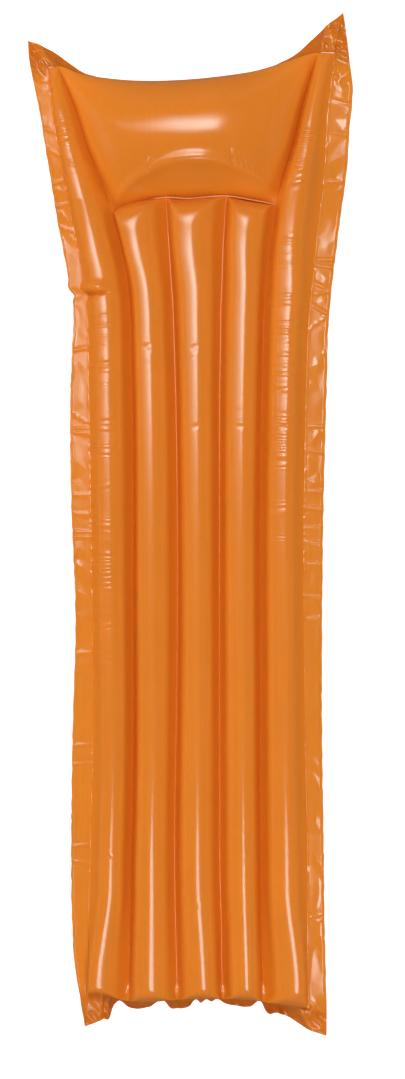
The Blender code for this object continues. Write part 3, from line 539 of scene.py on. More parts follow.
def build_tube(name, k, start, end_y, material, rounding=0.0):
    """A tube of film from start to the line end_y(x), open at its start, and shut at its end if rounded."""
    middle = (seam_x(k, end_y(0.0)) + seam_x(k + 1, end_y(0.0))) / 2
    end = float(end_y(middle))

    def place(across, along):
        angle = 2 * pi * across
        row = tube_rows(along, start, end, rounding)
        slant = ((row - start) / (end - start)) ** 6
        y = row
        for _ in range(5):
            x = blend(seam_x(k, y), seam_x(k + 1, y), 0.5 + 0.5 * np.cos(angle))
            y = row + slant * (end_y(x) - end)
        width = seam_x(k + 1, row) - seam_x(k, row) - TUBE_WELD
        half = np.minimum(TUBE_HALF_HEIGHT, TALLEST_SHARE * width)
        share = section(k, angle)
        if rounding:
            share = lower_of(share, end_profile(end - row, rounding) * (1 + CREST_SOFTNESS))
            share = np.where(along > 1 - 1e-6, 0, np.maximum(share, 0))
        return tube_skin(k, angle, y, half * share * np.sign(np.sin(angle)))

    rows = RIPPLED_ROWS if k in (0, 4) else SMOOTH_ROWS
    bm = film_grid(TUBE_POINTS, count_of((end - start) * rows), place)
    cut_hole(bm, BODY_VALVE)
    node = finish(name, bm, material, nodes=[name + "_tube"])
    # Marks the tube's valleys for the painted light the film material gives them.
    mark_painted_shading(node, painted_valley_light_share(TUBE_HALF_HEIGHT))


class MakeTubes(bpy.types.Operator):
    """Makes the five lengthwise tubes, with the head ends of the outer two"""
    bl_idname = "mattress.make_tubes"
    bl_label = "Tubes"

    def execute(self, context):
        film = film_material()
        end_inner = lambda x: pillow_seam_y(x) - PILLOW_WELD / 2
        end_head = lambda x: head_edge_y(x) - HEAD_TUBE_GAP
        for name, k in (("inner_left", 1), ("centre", 2), ("inner_right", 3)):
            build_tube(name, k, CHANNEL_Y, end_inner, film, TUBE_END_ROUNDING)
        for side, k in (("left", 0), ("right", 4)):
            build_tube(f"outer_{side}", k, CHANNEL_Y, lambda x: SHOULDER_Y + 0 * x, film)
            build_tube(f"head_{side}", k, SHOULDER_Y, end_head, film, HEAD_TUBE_END_ROUNDING)
        return {"FINISHED"}


class MakeFootChannel(bpy.types.Operator):
    """Makes the cross passage at the foot that joins the five tubes"""
    bl_idname = "mattress.make_foot_channel"
    bl_label = "Foot channel"

    def execute(self, context):
        def skin(sign):
            def place(across, along):
                share = np.sin(along * pi / 2)
                y = CHANNEL_Y - FOOT_CHANNEL * share
                cell = np.clip((across * 5).astype(int), 0, 4)
                angle = pi * (1 - (across * 5 - cell))
                x, z = np.zeros_like(across), np.zeros_like(across)
                profile = end_profile(y - FOOT_Y, FOOT_CHANNEL)
                neck = CHANNEL_NECK * np.sin(pi * (y - FOOT_Y) / FOOT_CHANNEL)
                neck = np.minimum(TUBE_HALF_HEIGHT * profile, neck)
                for k in range(5):
                    here = cell == k
                    rise = section(k, sign * angle)
                    half = TUBE_HALF_HEIGHT * lower_of(rise, profile * (1 + CREST_SOFTNESS))
                    outer = ((k == 0) & (across * 5 < 0.5)) | ((k == 4) & (across * 5 > 4.5))
                    half = np.maximum(half, np.where(outer, 0, neck))
                    lean = tube_lean(k, y) * np.sin(angle) ** 2 if sign > 0 else 0
                    edges = skin_edges(k, k + 1, y, np.clip((y - FOOT_Y) / FOOT_CHANNEL, 0, 1))
                    here_x = blend(*edges, 0.5 + 0.5 * np.cos(angle) + lean)
                    x = np.where(here, here_x, x)
                    z = np.where(here, SEAM_HEIGHT + sign * np.where(along > 1 - 1e-6, 0, half), z)
                return x, blend(CHANNEL_Y, foot_edge_y(x), share), np.maximum(z, 0)
            return place

        columns, rows = CHANNEL_POINTS
        bm = film_grid(columns * 5, rows, skin(-1), film_grid(columns * 5, rows, skin(1)))
        channel = finish("foot_channel_film", bm, film_material(), nodes=["foot_channel"])
        # Marks the channel's valleys for the painted light the film material gives them.
        mark_painted_shading(channel, painted_valley_light_share(TUBE_HALF_HEIGHT))
        return {"FINISHED"}


# Where the pillow is highest, as a share from its weld to its head edge
PILLOW_CREST = 0.57
# How full the pillow is: powers of its sides, its crown towards its weld and its head edge, and its belly
PILLOW_SIDES = (2.6, 0.68)
PILLOW_CROWN = (2.3, 0.80, 0.62)
PILLOW_BELLY = 2.2
# Points across the pillow, and along its upper and lower film
PILLOW_POINTS = (300, 140, 80)
# The rolled fold above the pillow's weld, as (x, y), with its height and breadth
PILLOW_ROLL = (
    (-0.1364, 0.556), (-0.112, 0.583), (-0.074, 0.608), (-0.05, 0.619), (0.0165, 0.629), (0.072, 0.62),
    (0.117, 0.601), (0.152, 0.572),
)
ROLL_HEIGHT = 0.0078
ROLL_BREADTH = 0.0125
# Puckers across that fold: (x, distance above the fold, turn, length, depth)
ROLL_PUCKERS = (
    (-0.137, 0.01, 60, 0.007, 0.6), (-0.131, 0.012, 62, 0.006, 0.7), (-0.124, 0.01, 66, 0.007, 0.7),
    (-0.116, 0.012, 68, 0.006, 0.5), (-0.071, 0.01, 76, 0.011, 1.0), (0.072, 0.011, 100, 0.012, 1.0),
    (0.085, 0.009, 108, 0.009, 0.8), (0.094, 0.009, 112, 0.01, 1.0), (0.104, 0.009, 116, 0.01, 1.0),
    (0.114, 0.009, 120, 0.01, 1.0), (0.124, 0.009, 124, 0.009, 0.9), (0.134, 0.009, 128, 0.008, 0.8),
    (0.144, 0.009, 130, 0.007, 0.6),
)
PUCKER_DEPTH = 0.0032
PUCKER_WIDTH = 0.0028


def pillow_profile(across, along):
    """Shares of the pillow's full height and depth. Its crest lies headwards, its belly in the middle."""
    side = np.maximum(1 - np.abs(2 * across - 1) ** PILLOW_SIDES[0], 0) ** PILLOW_SIDES[1]
    near = 1 - along / PILLOW_CREST
    far = (along - PILLOW_CREST) / (1 - PILLOW_CREST)
    roundness, to_weld, to_head = PILLOW_CROWN
    away = np.where(along < PILLOW_CREST, np.abs(near), np.abs(far)) ** roundness
    crown = np.maximum(1 - away, 0) ** np.where(along < PILLOW_CREST, to_weld, to_head)
    belly = np.sqrt(np.maximum(1 - np.abs(2 * along - 1) ** PILLOW_BELLY, 0))
    return side * crown, side * belly


def pillow_roll(x, y):
    """Height that the rolled fold and its puckers add to the pillow."""
    above = y - smooth_line(PILLOW_ROLL, x)
    height = ROLL_HEIGHT * bump(above / ROLL_BREADTH)
    for at_x, at_above, turn, length, depth in ROLL_PUCKERS:
        at = (at_x, float(smooth_line(PILLOW_ROLL, at_x)) + at_above)
        height = height - depth * PUCKER_DEPTH * crease(x, y, at, turn, length, PUCKER_WIDTH)
    return height


class MakePillow(bpy.types.Operator):
    """Makes the pillow chamber"""
    bl_idname = "mattress.make_pillow"
    bl_label = "Pillow"

    def execute(self, context):
        def skin(sign):
            def place(across, along):
                across = 0.5 - 0.5 * np.cos(pi * across)
                along = 0.5 - 0.5 * np.cos(pi * along)
                y = blend(PILLOW_SEAM_Y, HEAD_Y, along)
                for _ in range(6):
                    x = blend(*skin_edges(1, 4, y), across)
                    y = blend(pillow_seam_y(x) + PILLOW_WELD / 2, head_edge_y(x), along)
                crown, belly = pillow_profile(across, along)
                if sign < 0:
                    return x, y, np.maximum(seam_z(y) - (HEAD_SEAM_HEIGHT + PILLOW_FLATTENING) * belly, 0)
                return x, y, seam_z(y) + PILLOW_RISE * crown + pillow_roll(x, y) * ease(crown / 0.25)
            return place

        columns, upper_rows, lower_rows = PILLOW_POINTS
        bm = film_grid(columns, lower_rows, skin(-1), film_grid(columns, upper_rows, skin(1)))
        cut_hole(bm, PILLOW_VALVE)
        pillow = finish("pillow_film", bm, film_material(), nodes=["pillow"])
        # Marks the pillow's low film beside its welds for the painted light the film material gives it.
        mark_painted_shading(pillow, painted_valley_light_share(PILLOW_RISE))
        return {"FINISHED"}


# Welds

# How far a weld's edges lie below the weld plane, how high its middle bulges, and its half width as a share
# of its width, so that it reaches under the skins beside it
WELD_DEPTH = 0.0012
WELD_BULGE = 0.0010
WELD_REACH = 0.55
WELD_COLUMNS = 6


def build_weld(name, centre, length, material):
    """A pressed strip of doubled film. centre gives its points and its half width across them."""
    def place(across, along):
        x, y, half_x, half_y = centre(along)
        side = 2 * across - 1
        crown = 1 - np.abs(side) ** 3
        return x + half_x * side, y + half_y * side, seam_z(y) - WELD_DEPTH + WELD_BULGE * crown

    bm = film_grid(WELD_COLUMNS, count_of(length), place)
    finish(name + "_bar", bm, material, nodes=[name], wall=2 * FILM)


class MakeWelds(bpy.types.Operator):
    """Makes the welds between the tubes and the pillow's weld"""
    bl_idname = "mattress.make_welds"
    bl_label = "Welds"

    def execute(self, context):
        film = weld_material()
        names = ("weld_outer_left", "weld_inner_left", "weld_inner_right", "weld_outer_right")
        for k, name in zip((1, 2, 3, 4), names):
            end = crossing_y(k, pillow_seam_y, PILLOW_SEAM_Y)
            if k in (1, 4):
                end = crossing_y(k, head_edge_y, HEAD_Y) - HEAD_WELD_GAP

            def centre(along, k=k, end=end):
                y = blend(CHANNEL_Y - WELD_LAP, end, along)
                return seam_x(k, y), y, TUBE_WELD * WELD_REACH, 0 * y

            build_weld(name, centre, end - CHANNEL_Y, film)
        left, right = (float(seam_x(k, crossing_y(k, pillow_seam_y, PILLOW_SEAM_Y))) for k in (1, 4))

        def arc(along):
            x = blend(left, right, along)
            return x, pillow_seam_y(x), 0 * x, PILLOW_WELD * WELD_REACH

        build_weld("pillow_weld", arc, right - left, film)
        return {"FINISHED"}


# Margins

def draw_to_corners(near, far, corners):
    """Draws a free edge to the margin's two corners, each given with the distance from it along the weld."""
    for corner, distance in corners:
        pull = np.maximum(1 - distance / CORNER_LENGTH, 0) ** 2
        far = [blend(edge, weld + reach, pull) for edge, weld, reach in zip(far, near, corner)]
    return far


def folds(along, seed, shortest, longest):
    """Heights of a folded edge: straight runs between creases at uneven places, from -1 to 1."""
    rng = np.random.default_rng(seed)
    low, high = float(np.min(along)), float(np.max(along))
    places, heights = [low], [0.0]
    while places[-1] < high:
        places.append(places[-1] + rng.uniform(shortest, longest))
        heights.append(rng.uniform(0.2, 1.0) * (1 if len(heights) % 2 else -1))
    return np.interp(along, places, heights)


# Rows of bends in crumpled film: (share of the way out, shortest and longest distance between bends, height)
CRUMPLE_ROWS = (
    (0.0, 0.007, 0.022, 0.05), (0.3, 0.012, 0.03, 0.25), (0.65, 0.014, 0.036, 0.45),
    (1.0, 0.014, 0.045, 0.65),
)
# How far a bend strays from its row, as a share of the width
CRUMPLE_STRAY = 0.12


def crumple(along, down, width, creases, seed):
    """Heights from about -1 to 1 of crumpled film, flat between uneven points and bent along the creases."""
    rng = np.random.default_rng(seed)
    low, high = float(np.min(along)) - 0.05, float(np.max(along)) + 0.05
    points = [(low, 0, 0), (high, 0, 0), (low, width, 0), (high, width, 0)]
    for row, least, most, height in CRUMPLE_ROWS:
        at = low
        while at < high:
            at += rng.uniform(least, most)
            stray = rng.uniform(-CRUMPLE_STRAY, CRUMPLE_STRAY) if 0 < row < 1 else 0
            if all(abs(at - blend(a, b, row)) > 1.5 * CREASE_BREADTH for a, b, _ in creases):
                points.append((at, (row + stray) * width, rng.uniform(-height, height)))
    for at_weld, at_edge, height in creases:
        for row in (0.0, 0.25, 0.5, 0.75, 1.0):
            at = blend(at_weld, at_edge, row)
            points.append((at, row * width, height * (0.35 + 0.75 * row)))
            points.append((at - CREASE_BREADTH, row * width, -0.1 * row))
            points.append((at + CREASE_BREADTH, row * width, -0.1 * row))
    flat = [Vector(p[:2]) for p in points]
    placed, _, triangles, kept, _, _ = delaunay_2d_cdt(flat, [], [], 0, 1e-6)
    tall = [points[ids[0]][2] for ids in kept]
    heights = np.zeros_like(along)
    for a, b, c in triangles:
        (ax, ay), (bx, by), (cx, cy) = placed[a], placed[b], placed[c]
        area = (bx - ax) * (cy - ay) - (cx - ax) * (by - ay)
        if abs(area) < 1e-12:
            continue
        v = ((along - ax) * (cy - ay) - (cx - ax) * (down - ay)) / area
        w = ((bx - ax) * (down - ay) - (along - ax) * (by - ay)) / area
        inside = (v >= -1e-6) & (w >= -1e-6) & (v + w <= 1 + 1e-6)
        heights = np.where(inside, tall[a] + v * (tall[b] - tall[a]) + w * (tall[c] - tall[a]), heights)
    return heights


def corner_crumple(x, y):
    """Height of the crumples in the margins' corners, the same for both margins that meet there."""
    near = np.maximum(ease((y - HEAD_Y + 0.025) / 0.04), ease((FOOT_Y + 0.010 - y) / 0.03))
    spots = zip(np.ravel(x), np.ravel(y))
    height = np.array([noise.noise(Vector((40 * a, 55 * b + 30 * a, 2.5))) for a, b in spots])
    return CORNER_CRUMPLE * near * (1 - 2 * np.abs(height.reshape(np.shape(x)) * 1.6))


def margin_skin(inner, outer, along, across, calm, most_drop, out, down, creases, seed):
    """Points of a crumpled margin between its weld and its free edge.

    out and down are shares of the way out and of the way down, and most_drop is the most that it may hang.
    """
    width = np.hypot(outer[0] - inner[0], outer[1] - inner[1])
    start = seam_z(inner[1])
    drop = np.minimum(np.sqrt(np.maximum(MARGIN_FILM**2 - width**2, 0)), most_drop)
    end = np.maximum(start - drop, MARGIN_CLEARANCE)
    height = sizes().fold_height * calm
    crumpled = crumple(along, across * MARGIN_FILM, MARGIN_FILM, creases, seed)
    z = blend(start, end, down) + height * crumpled
    pucker = SEAM_PUCKER * noise_line(along * 160, seed + 5) * bump((across - 0.04) / 0.05)
    dashes = np.clip(0.5 + noise_line(along * 90, seed + 7), 0, 1)
    bead = EDGE_BEAD * bump((across - 0.88) / 0.020) + SEAM_BEAD * dashes * bump((across - 0.06) / 0.03)
    reach = EDGE_STRAY * calm * folds(along, seed + 1, 0.006, 0.030) * across
    x = blend(inner[0], outer[0], out) + reach * np.sign(outer[0] - inner[0])
    y = blend(inner[1], outer[1], out)
    z = z + (pucker + bead) * calm + corner_crumple(x, y) * ease(across / 0.3)
    return x, y, np.maximum(z, LOWEST_MARGIN)


# Shares across a margin where its rows of points lie, closer together beside its weld and its edge line
MARGIN_ROWS = (
    0, 0.02, 0.04, 0.06, 0.08, 0.11, 0.15, 0.2, 0.25, 0.31, 0.37, 0.43, 0.49, 0.55, 0.61, 0.67, 0.73, 0.78,
    0.82, 0.845, 0.86, 0.87, 0.88, 0.895, 0.92, 0.96, 1,
)


def margin_row(across):
    return np.array(MARGIN_ROWS)[np.round(across * (len(MARGIN_ROWS) - 1)).astype(int)]


def build_margin(name, place, length, depth, material):
    """Makes a margin as a sheet of doubled film. length is the length of its weld, and depth gives where its
    painted shade lies.
    """
    bm = film_grid(len(MARGIN_ROWS) - 1, count_of(length * 2), place)
    strip = finish(name + "_film", bm, material, nodes=[name], wall=2 * FILM)
    mark_painted_shading(strip, depth)


def side_margin(name, k, side, widths, corners, creases, seed, material):
    foot = crossing_y(k, foot_edge_y, FOOT_Y)
    head = crossing_y(k, head_edge_y, HEAD_Y)

    def place(across, along):
        across = margin_row(across)
        y = blend(foot, head, along)
        x = seam_x(k, y)
        far = (x + side * smooth_line(widths, y - PILLOW_SEAM_Y), y)
        far = draw_to_corners((x, y), far, zip(corners, (y - foot, head - y)))
        calm = faded(y, foot, head, CORNER_CALM)
        near = (x - side * MARGIN_TUCK, y)
        return margin_skin(near, far, y, across, calm, SIDE_MARGIN_DROP, across, across, creases, seed)

    # Painted shade: darkens the film towards the head corners fully and towards the foot corners at 0.7.
    def depth(x, y, z):
        return ease((y - head + 0.035) / 0.05) + 0.7 * ease((foot + 0.020 - y) / 0.04)

    build_margin(name, place, head - foot, depth, material)


def end_margin(name, end, edge_y, widths, corners, seed, material):
    left, right = (float(seam_x(k, edge_y(seam_x(k, HEAD_Y) if end > 0 else x)))
                   for k, x in ((0, LEFT_SEAM_X), (5, -LEFT_SEAM_X)))

    def place(across, along):
        across = margin_row(across)
        x = blend(left, right, along)
        y = edge_y(x)
        far = (x, y + end * smooth_line(widths, x))
        far = draw_to_corners((x, y), far, zip(corners, (x - left, right - x)))
        calm = faded(x, left, right, CORNER_CALM)
        return margin_skin((x, y), far, x, across, calm, MARGIN_FILM, 1 - np.cos(pi * across / 2),
                           np.sin(pi * across / 2), (), seed)

    # Painted shade: darkens all of the end margin at 0.7 at least, and fully where it hangs below the welds.
    def depth(x, y, z):
        return np.maximum(ease((seam_z(y) - z) / 0.012), 0.7)

    build_margin(name, place, right - left, depth, material)


class MakeMargins(bpy.types.Operator):
    """Makes the four loose margins"""
    bl_idname = "mattress.make_margins"
    bl_label = "Margins"

    def execute(self, context):
        film = doubled_film_material()
        side_margin("margin_left", 0, -1, LEFT_MARGIN, LEFT_CORNERS, LEFT_CREASES, 11, film)
        side_margin("margin_right", 5, 1, RIGHT_MARGIN, RIGHT_CORNERS, RIGHT_CREASES, 12, film)
        foot_corners, head_corners = zip(LEFT_CORNERS, RIGHT_CORNERS)
        end_margin("margin_head", 1, head_edge_y, HEAD_MARGIN, head_corners, 13, film)
        end_margin("margin_foot", -1, foot_edge_y, FOOT_MARGIN, foot_corners, 14, film)
        return {"FINISHED"}


# Valves

def build_web(valve, at, material):
    """The folding web of a valve, which turns inside out when its stem is pulled out."""
    up = np.linspace(0, 1, 9)
    down = up[::-1]
    inside = WEB_FOOT - WEB_THICKNESS
    radius = np.hstack((WEB_FOOT, WEB_FOOT, blend(WEB_FOOT - 0.0002, WEB_NECK, up),
                        blend(inside, WEB_NECK, down), inside, WEB_FOOT))
    height = np.hstack((WEB_SEAT, 0.8 * WEB_SHOULDER, blend(WEB_SHOULDER, WEB_TOP + WEB_THICKNESS, up),
                        blend(WEB_SHOULDER - WEB_THICKNESS / 2, WEB_TOP - WEB_THICKNESS, down), WEB_SEAT,
                        WEB_SEAT))

    def place(around, along):
        turn = 2 * pi * around
        point = np.round(along * (len(radius) - 1)).astype(int)
        return at[0] + radius[point] * np.cos(turn), at[1] + radius[point] * np.sin(turn), height[point]

    bm = film_grid(WEB_POINTS, len(radius) - 1, place)
    web = finish(valve + "_folding_web", bm, material, body=None, nodes=[valve + "_web"])
    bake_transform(web)


class FinishValves(bpy.types.Operator):
    """Makes the folding webs of the two stop valves, and gives the valves' other parts their material"""
    bl_idname = "mattress.finish_valves"
    bl_label = "Valves"

    def execute(self, context):
        moulding, clear = moulding_material(), clear_film_material()
        for name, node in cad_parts.items():
            if "valve" in name:
                flap = name.endswith("flap")
                node.data.materials.clear()
                node.data.materials.append(clear if flap else moulding)
        build_web("body_valve", BODY_VALVE, moulding)
        build_web("pillow_valve", PILLOW_VALVE, moulding)
        return {"FINISHED"}


# Materials

PVC_IOR = 1.53


def add(tree, kind, sockets=None, **settings):
    """Adds a shader node. Each of its sockets is given a value, or another node's output to be linked to."""
    made = tree.nodes.new("ShaderNode" + kind)
    for name, value in settings.items():
        setattr(made, name, value)
    for name, value in (sockets or {}).items():
        if isinstance(value, bpy.types.NodeSocket):
            tree.links.new(value, made.inputs[name])
        else:
            made.inputs[name].default_value = value
    return made


def ramp(tree, value, start, end, low=0.0, high=1.0, shape="SMOOTHSTEP"):
    """A value that goes from low to high as another goes from start to end."""
    sockets = {"Value": value, "From Min": start, "From Max": end, "To Min": low, "To Max": high}
    return add(tree, "MapRange", sockets, interpolation_type=shape).outputs[0]


def times(tree, a, b):
    return add(tree, "Math", {0: a, 1: b}, operation="MULTIPLY").outputs[0]


def new_material(name):
    made = bpy.data.materials.new(name)
    made.use_nodes = True
    made.node_tree.nodes.clear()
    return made, made.node_tree


def object_place(tree):
    """The place of each point in its object's own frame."""
    return add(tree, "TexCoord").outputs["Object"]


def relief_of(tree, height, strength, distance):
    """The normals of a surface with a fine relief."""
    sockets = {"Height": height, "Strength": strength, "Distance": distance}
    return add(tree, "Bump", sockets).outputs["Normal"]


def coat(tree, colour, roughness, more):
    """Adds the shader of a PVC surface, with more of its sockets, and links it to the material's output."""
    sockets = {"Base Color": colour, "Roughness": roughness, "IOR": PVC_IOR, "Subsurface Scale": 1.0, **more}
    add(tree, "OutputMaterial", {"Surface": add(tree, "BsdfPrincipled", sockets).outputs["BSDF"]})


def pvc_film(name, brightness, drawn_scale, painted_shading_tint):
    """A film material. drawn_scale stretches the faint lines of the calender, and the last argument tints its
    marked valleys and corners with painted light or shade.
    """
    if name in bpy.data.materials:
        return bpy.data.materials[name]
    made, tree = new_material(name)
    place = object_place(tree)
    film = [c * brightness for c in colours().film]
    cloud = add(tree, "TexNoise", {"Vector": place, "Scale": 9.0, "Detail": 3.0})
    tint = add(tree, "Mix", {"Factor": cloud.outputs["Fac"], "A": (*[c * 0.95 for c in film], 1.0),
                             "B": (*[c * 1.05 for c in film], 1.0)}, data_type="RGBA")
    drawn = add(tree, "Mapping", {"Vector": place, "Scale": drawn_scale})
    lines = add(tree, "TexNoise", {"Vector": drawn.outputs["Vector"], "Scale": 260.0, "Detail": 3.0})
    shade = ramp(tree, lines.outputs["Fac"], 0.3, 0.7, 0.975, 1.03, "LINEAR")
    tint = add(tree, "VectorMath", {0: tint.outputs["Result"], "Scale": shade}, operation="SCALE")
    # Painted light and shade: marked points take the film colour times the given shares, lighter where light
    # glows through the tubes' valleys, darker where the margins lie in shade.
    painted_shading = add(tree, "Attribute", attribute_name="painted_shading").outputs["Fac"]
    painted_shading_tint = (*[c * share for c, share in zip(film, painted_shading_tint)], 1.0)
    tint = add(tree, "Mix", {"Factor": painted_shading, "A": tint.outputs["Vector"], "B": painted_shading_tint}, data_type="RGBA")
    grain = add(tree, "TexNoise", {"Vector": place, "Scale": 260.0, "Detail": 2.0})
    coat(tree, tint.outputs["Result"], 0.17, {
        "Specular Tint": (0.72, 1.0, 1.0, 1.0),
        "Subsurface Weight": 0.25,
        "Subsurface Radius": (0.008, 0.0025, 0.0008),
        "Normal": relief_of(tree, grain.outputs["Fac"], 0.05, 0.0004),
    })
    return made


def film_material():
    """Calendered PVC film, pigmented orange, slightly translucent, with a smooth, wet-looking finish."""
    # Painted light: the shares (1.16, 1.17, 1.0) lighten the valleys, standing in for light shining through
    # and between the film.
    return pvc_film("pvc_film", 1.0, (1.0, 0.012, 1.0), (1.16, 1.17, 1.0))


def doubled_film_material():
    """Two of the same films lying on each other, which let less light through and so look lighter."""
    # Painted shade: the shares (0.80, 0.66, 0.28) darken and deepen the colour of the margins' corners and
    # hanging lobes.
    return pvc_film("doubled_pvc_film", 1.08, (1.0, 0.03, 1.0), (0.80, 0.66, 0.28))


def weld_material():
    """The same film where a hot bar pressed both sheets together, flat and finely ribbed."""
    made, tree = new_material("pressed_film")
    film = colours().film
    ribs = add(tree, "TexWave", {"Vector": object_place(tree), "Scale": 160.0}, bands_direction="DIAGONAL")
    coat(tree, (film[0], film[1] * 0.95, film[2] * 0.85, 1.0), 0.24,
         {"Normal": relief_of(tree, ribs.outputs["Fac"], 0.15, 0.0002)})
    return made


def clear_film_material():
    """Thin unpigmented PVC film, clear and glossy."""
    made, tree = new_material("clear_pvc_film")
    coat(tree, (*colours().flap, 1.0), 0.12, {"Transmission Weight": 0.6})
    return made


def moulding_material():
    """Soft injection-moulded PVC, unpigmented and milky, with a fine matt mould finish."""
    made, tree = new_material("soft_pvc")
    grain = add(tree, "TexNoise", {"Vector": object_place(tree), "Scale": 900.0, "Detail": 2.0})
    coat(tree, (*colours().moulding, 1.0), 0.38, {
        "Subsurface Weight": 0.3,
        "Subsurface Radius": (0.003, 0.0025, 0.002),
        "Normal": relief_of(tree, grain.outputs["Fac"], 0.2, 0.0001),
    })
    return made


# Stage

# How bright the floor and the sky are by themselves for the camera and for other rays, as shares of white
FLOOR_GLOW = 0.92
FLOOR_BOUNCE = 0.25
SKY_GLOW = 1.0
SKY_LIGHT = 0.11
CAMERA_HEIGHT = 6.0
# The height at which a pixel of the picture is as wide as PIXEL
SEEN_AT = 0.05


def floor_material():
    """A white studio floor that keeps a faint shadow, and that can be seen through from below."""
    made, tree = new_material("studio_floor")
    shader = add(tree, "BsdfDiffuse", {"Color": (*colours().floor, 1.0)})
    camera_ray = add(tree, "LightPath").outputs["Is Camera Ray"]
    glow = add(tree, "Emission", {"Color": (1, 1, 1, 1), "Strength": FLOOR_GLOW})
    bounce = add(tree, "Emission", {"Strength": FLOOR_BOUNCE})
    seen = add(tree, "MixShader", {0: camera_ray, 1: bounce.outputs[0], 2: glow.outputs[0]})
    lit = add(tree, "AddShader", {0: shader.outputs[0], 1: seen.outputs[0]})
    back = add(tree, "NewGeometry").outputs["Backfacing"]
    clear = add(tree, "BsdfTransparent")
    both = add(tree, "MixShader", {0: back, 1: lit.outputs[0], 2: clear.outputs[0]})
    add(tree, "OutputMaterial", {"Surface": both.outputs[0]})
    return made


def softbox(name, at, size, strength, shape="RECTANGLE", fade=None, turn=(0, 0), mirrored=True):
    """A flat lamp facing down, or turned so many degrees about X and Y. Its face is strength times white.

    fade gives shares of its strength over its face. One that isn't mirrored isn't seen in the film's gloss.
    """
    lamp = bpy.data.lights.new(name, "AREA")
    lamp.shape = shape
    lamp.size, lamp.size_y = size
    area = size[0] * size[1] * (pi / 4 if shape == "ELLIPSE" else 1)
    lamp.energy = strength * pi * area
    if fade:
        lamp.use_nodes = True
        emission = next(n for n in lamp.node_tree.nodes if n.type == "EMISSION")
        lamp.node_tree.links.new(fade(lamp.node_tree), emission.inputs["Strength"])
    obj = bpy.data.objects.new(name, lamp)
    obj.location = at
    obj.rotation_euler = (radians(turn[0]), radians(turn[1]), 0)
    obj.visible_camera = False
    obj.visible_glossy = mirrored
    bpy.context.scene.collection.objects.link(obj)


def soft_edge(tree):
    """Brightest in the middle of the lamp's face, and fading to nothing at its edge."""
    face = add(tree, "NewGeometry").outputs["Parametric"]
    away = add(tree, "VectorMath", {0: face, 1: (0.5, 0.5, 0.0)}, operation="DISTANCE").outputs["Value"]
    return ramp(tree, away, 0.5, 0.0, shape="SMOOTHERSTEP")


def head_fade(tree):
    """Brightest along the lamp's right edge, fading to the left and towards the foot and the head."""
    face = add(tree, "SeparateXYZ", {0: add(tree, "NewGeometry").outputs["Parametric"]}).outputs
    steep = add(tree, "Math", {0: face["X"], 1: 3.0}, operation="POWER").outputs[0]
    across = times(tree, ramp(tree, steep, 0.0, 1.0, 0.08, 1.0, "LINEAR"), ramp(tree, face["X"], 1.0, 0.96))
    along = times(tree, ramp(tree, face["Y"], 0.30, 0.50), ramp(tree, face["Y"], 0.78, 0.58, 0.12))
    return times(tree, across, along)


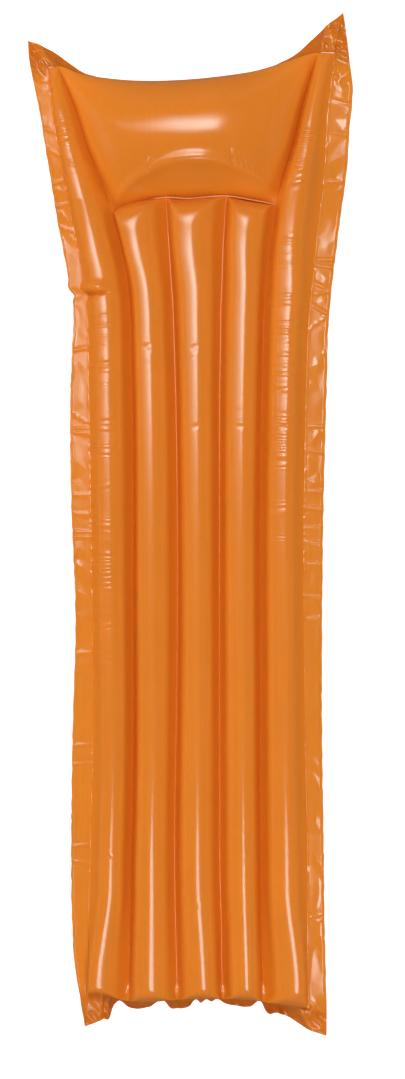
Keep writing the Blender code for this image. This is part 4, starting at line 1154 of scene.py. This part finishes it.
class MakeStage(bpy.types.Operator):
    """Makes the white floor, the soft lamps and the camera over the mattress"""
    bl_idname = "mattress.make_stage"
    bl_label = "Stage"

    def execute(self, context):
        scene = context.scene
        scene.view_settings.view_transform = "Standard"
        bm = bmesh.new()
        bmesh.ops.create_grid(bm, x_segments=1, y_segments=1, size=12.0)
        floor = new_object("floor", bm, floor_material())
        floor.location = (0, 0, -0.0004)
        floor.visible_glossy = False

        softbox("head_softbox", (-1.17, 0.50, 3.0), (3.6, 2.2), 14.0, fade=head_fade)
        softbox("pillow_softbox", (-0.02, 1.04, 3.0), (1.30, 1.30), 17.0, shape="ELLIPSE", fade=soft_edge)
        softbox("foot_softbox", (0.19, -0.92, 1.4), (0.36, 0.62), 9.0, shape="ELLIPSE")
        for name, x, y, strength in (("left", -1, 0, 4.8), ("right", 1, 0, 3.2), ("head", 0, 1, 2.4),
                                     ("foot", 0, -1, 2.2)):
            softbox(name + "_fill", (3.2 * x, 3.2 * y, 1.3), (1.2, 2.6) if x else (2.6, 1.2), strength,
                    turn=(-68 * y, 68 * x), mirrored=False)

        world = bpy.data.worlds.new("studio")
        scene.world = world
        world.use_nodes = True
        tree = world.node_tree
        tree.nodes.clear()
        camera_ray = add(tree, "LightPath").outputs["Is Camera Ray"]
        strength = ramp(tree, camera_ray, 0.0, 1.0, SKY_LIGHT, SKY_GLOW, "LINEAR")
        sky = add(tree, "Background", {"Color": (1, 1, 1, 1), "Strength": strength})
        add(tree, "OutputWorld", {"Surface": sky.outputs[0]})

        lens = bpy.data.cameras.new("camera")
        lens.sensor_fit = "AUTO"
        lens.sensor_width = 36.0
        lens.lens = lens.sensor_width * (CAMERA_HEIGHT - SEEN_AT) / (PHOTO_HEIGHT * PIXEL)
        camera = bpy.data.objects.new("camera", lens)
        camera.location = ((PHOTO_WIDTH / 2 - ORIGIN_PIXEL[0]) * PIXEL,
                           (ORIGIN_PIXEL[1] - PHOTO_HEIGHT / 2) * PIXEL, CAMERA_HEIGHT)
        scene.collection.objects.link(camera)
        scene.camera = camera
        return {"FINISHED"}


class MattressPanel(bpy.types.Panel):
    bl_label = "Pool mattress"
    bl_idname = "VIEW3D_PT_mattress"
    bl_space_type = "VIEW_3D"
    bl_region_type = "UI"
    bl_category = "Mattress"

    def draw(self, context):
        layout = self.layout
        for group in (context.scene.mattress_sizes, context.scene.mattress_colours):
            box = layout.box()
            for name in group.__annotations__:
                box.prop(group, name)
        for maker in MAKERS:
            layout.operator(maker.bl_idname)


MAKERS = (MakeStage, MakeTubes, MakeFootChannel, MakePillow, MakeWelds, MakeMargins, FinishValves)
CLASSES = (MattressSizes, MattressColours, *MAKERS, MattressPanel)


def register():
    for each in CLASSES:
        bpy.utils.register_class(each)
    bpy.types.Scene.mattress_sizes = bpy.props.PointerProperty(type=MattressSizes)
    bpy.types.Scene.mattress_colours = bpy.props.PointerProperty(type=MattressColours)


def unregister():
    del bpy.types.Scene.mattress_colours
    del bpy.types.Scene.mattress_sizes
    for each in reversed(CLASSES):
        bpy.utils.unregister_class(each)


def main():
    register()
    bpy.ops.mattress.make_stage()
    bpy.ops.mattress.make_tubes()
    bpy.ops.mattress.make_foot_channel()
    bpy.ops.mattress.make_pillow()
    bpy.ops.mattress.make_welds()
    bpy.ops.mattress.make_margins()
    bpy.ops.mattress.finish_valves()


if __name__ == "__main__":
    main()
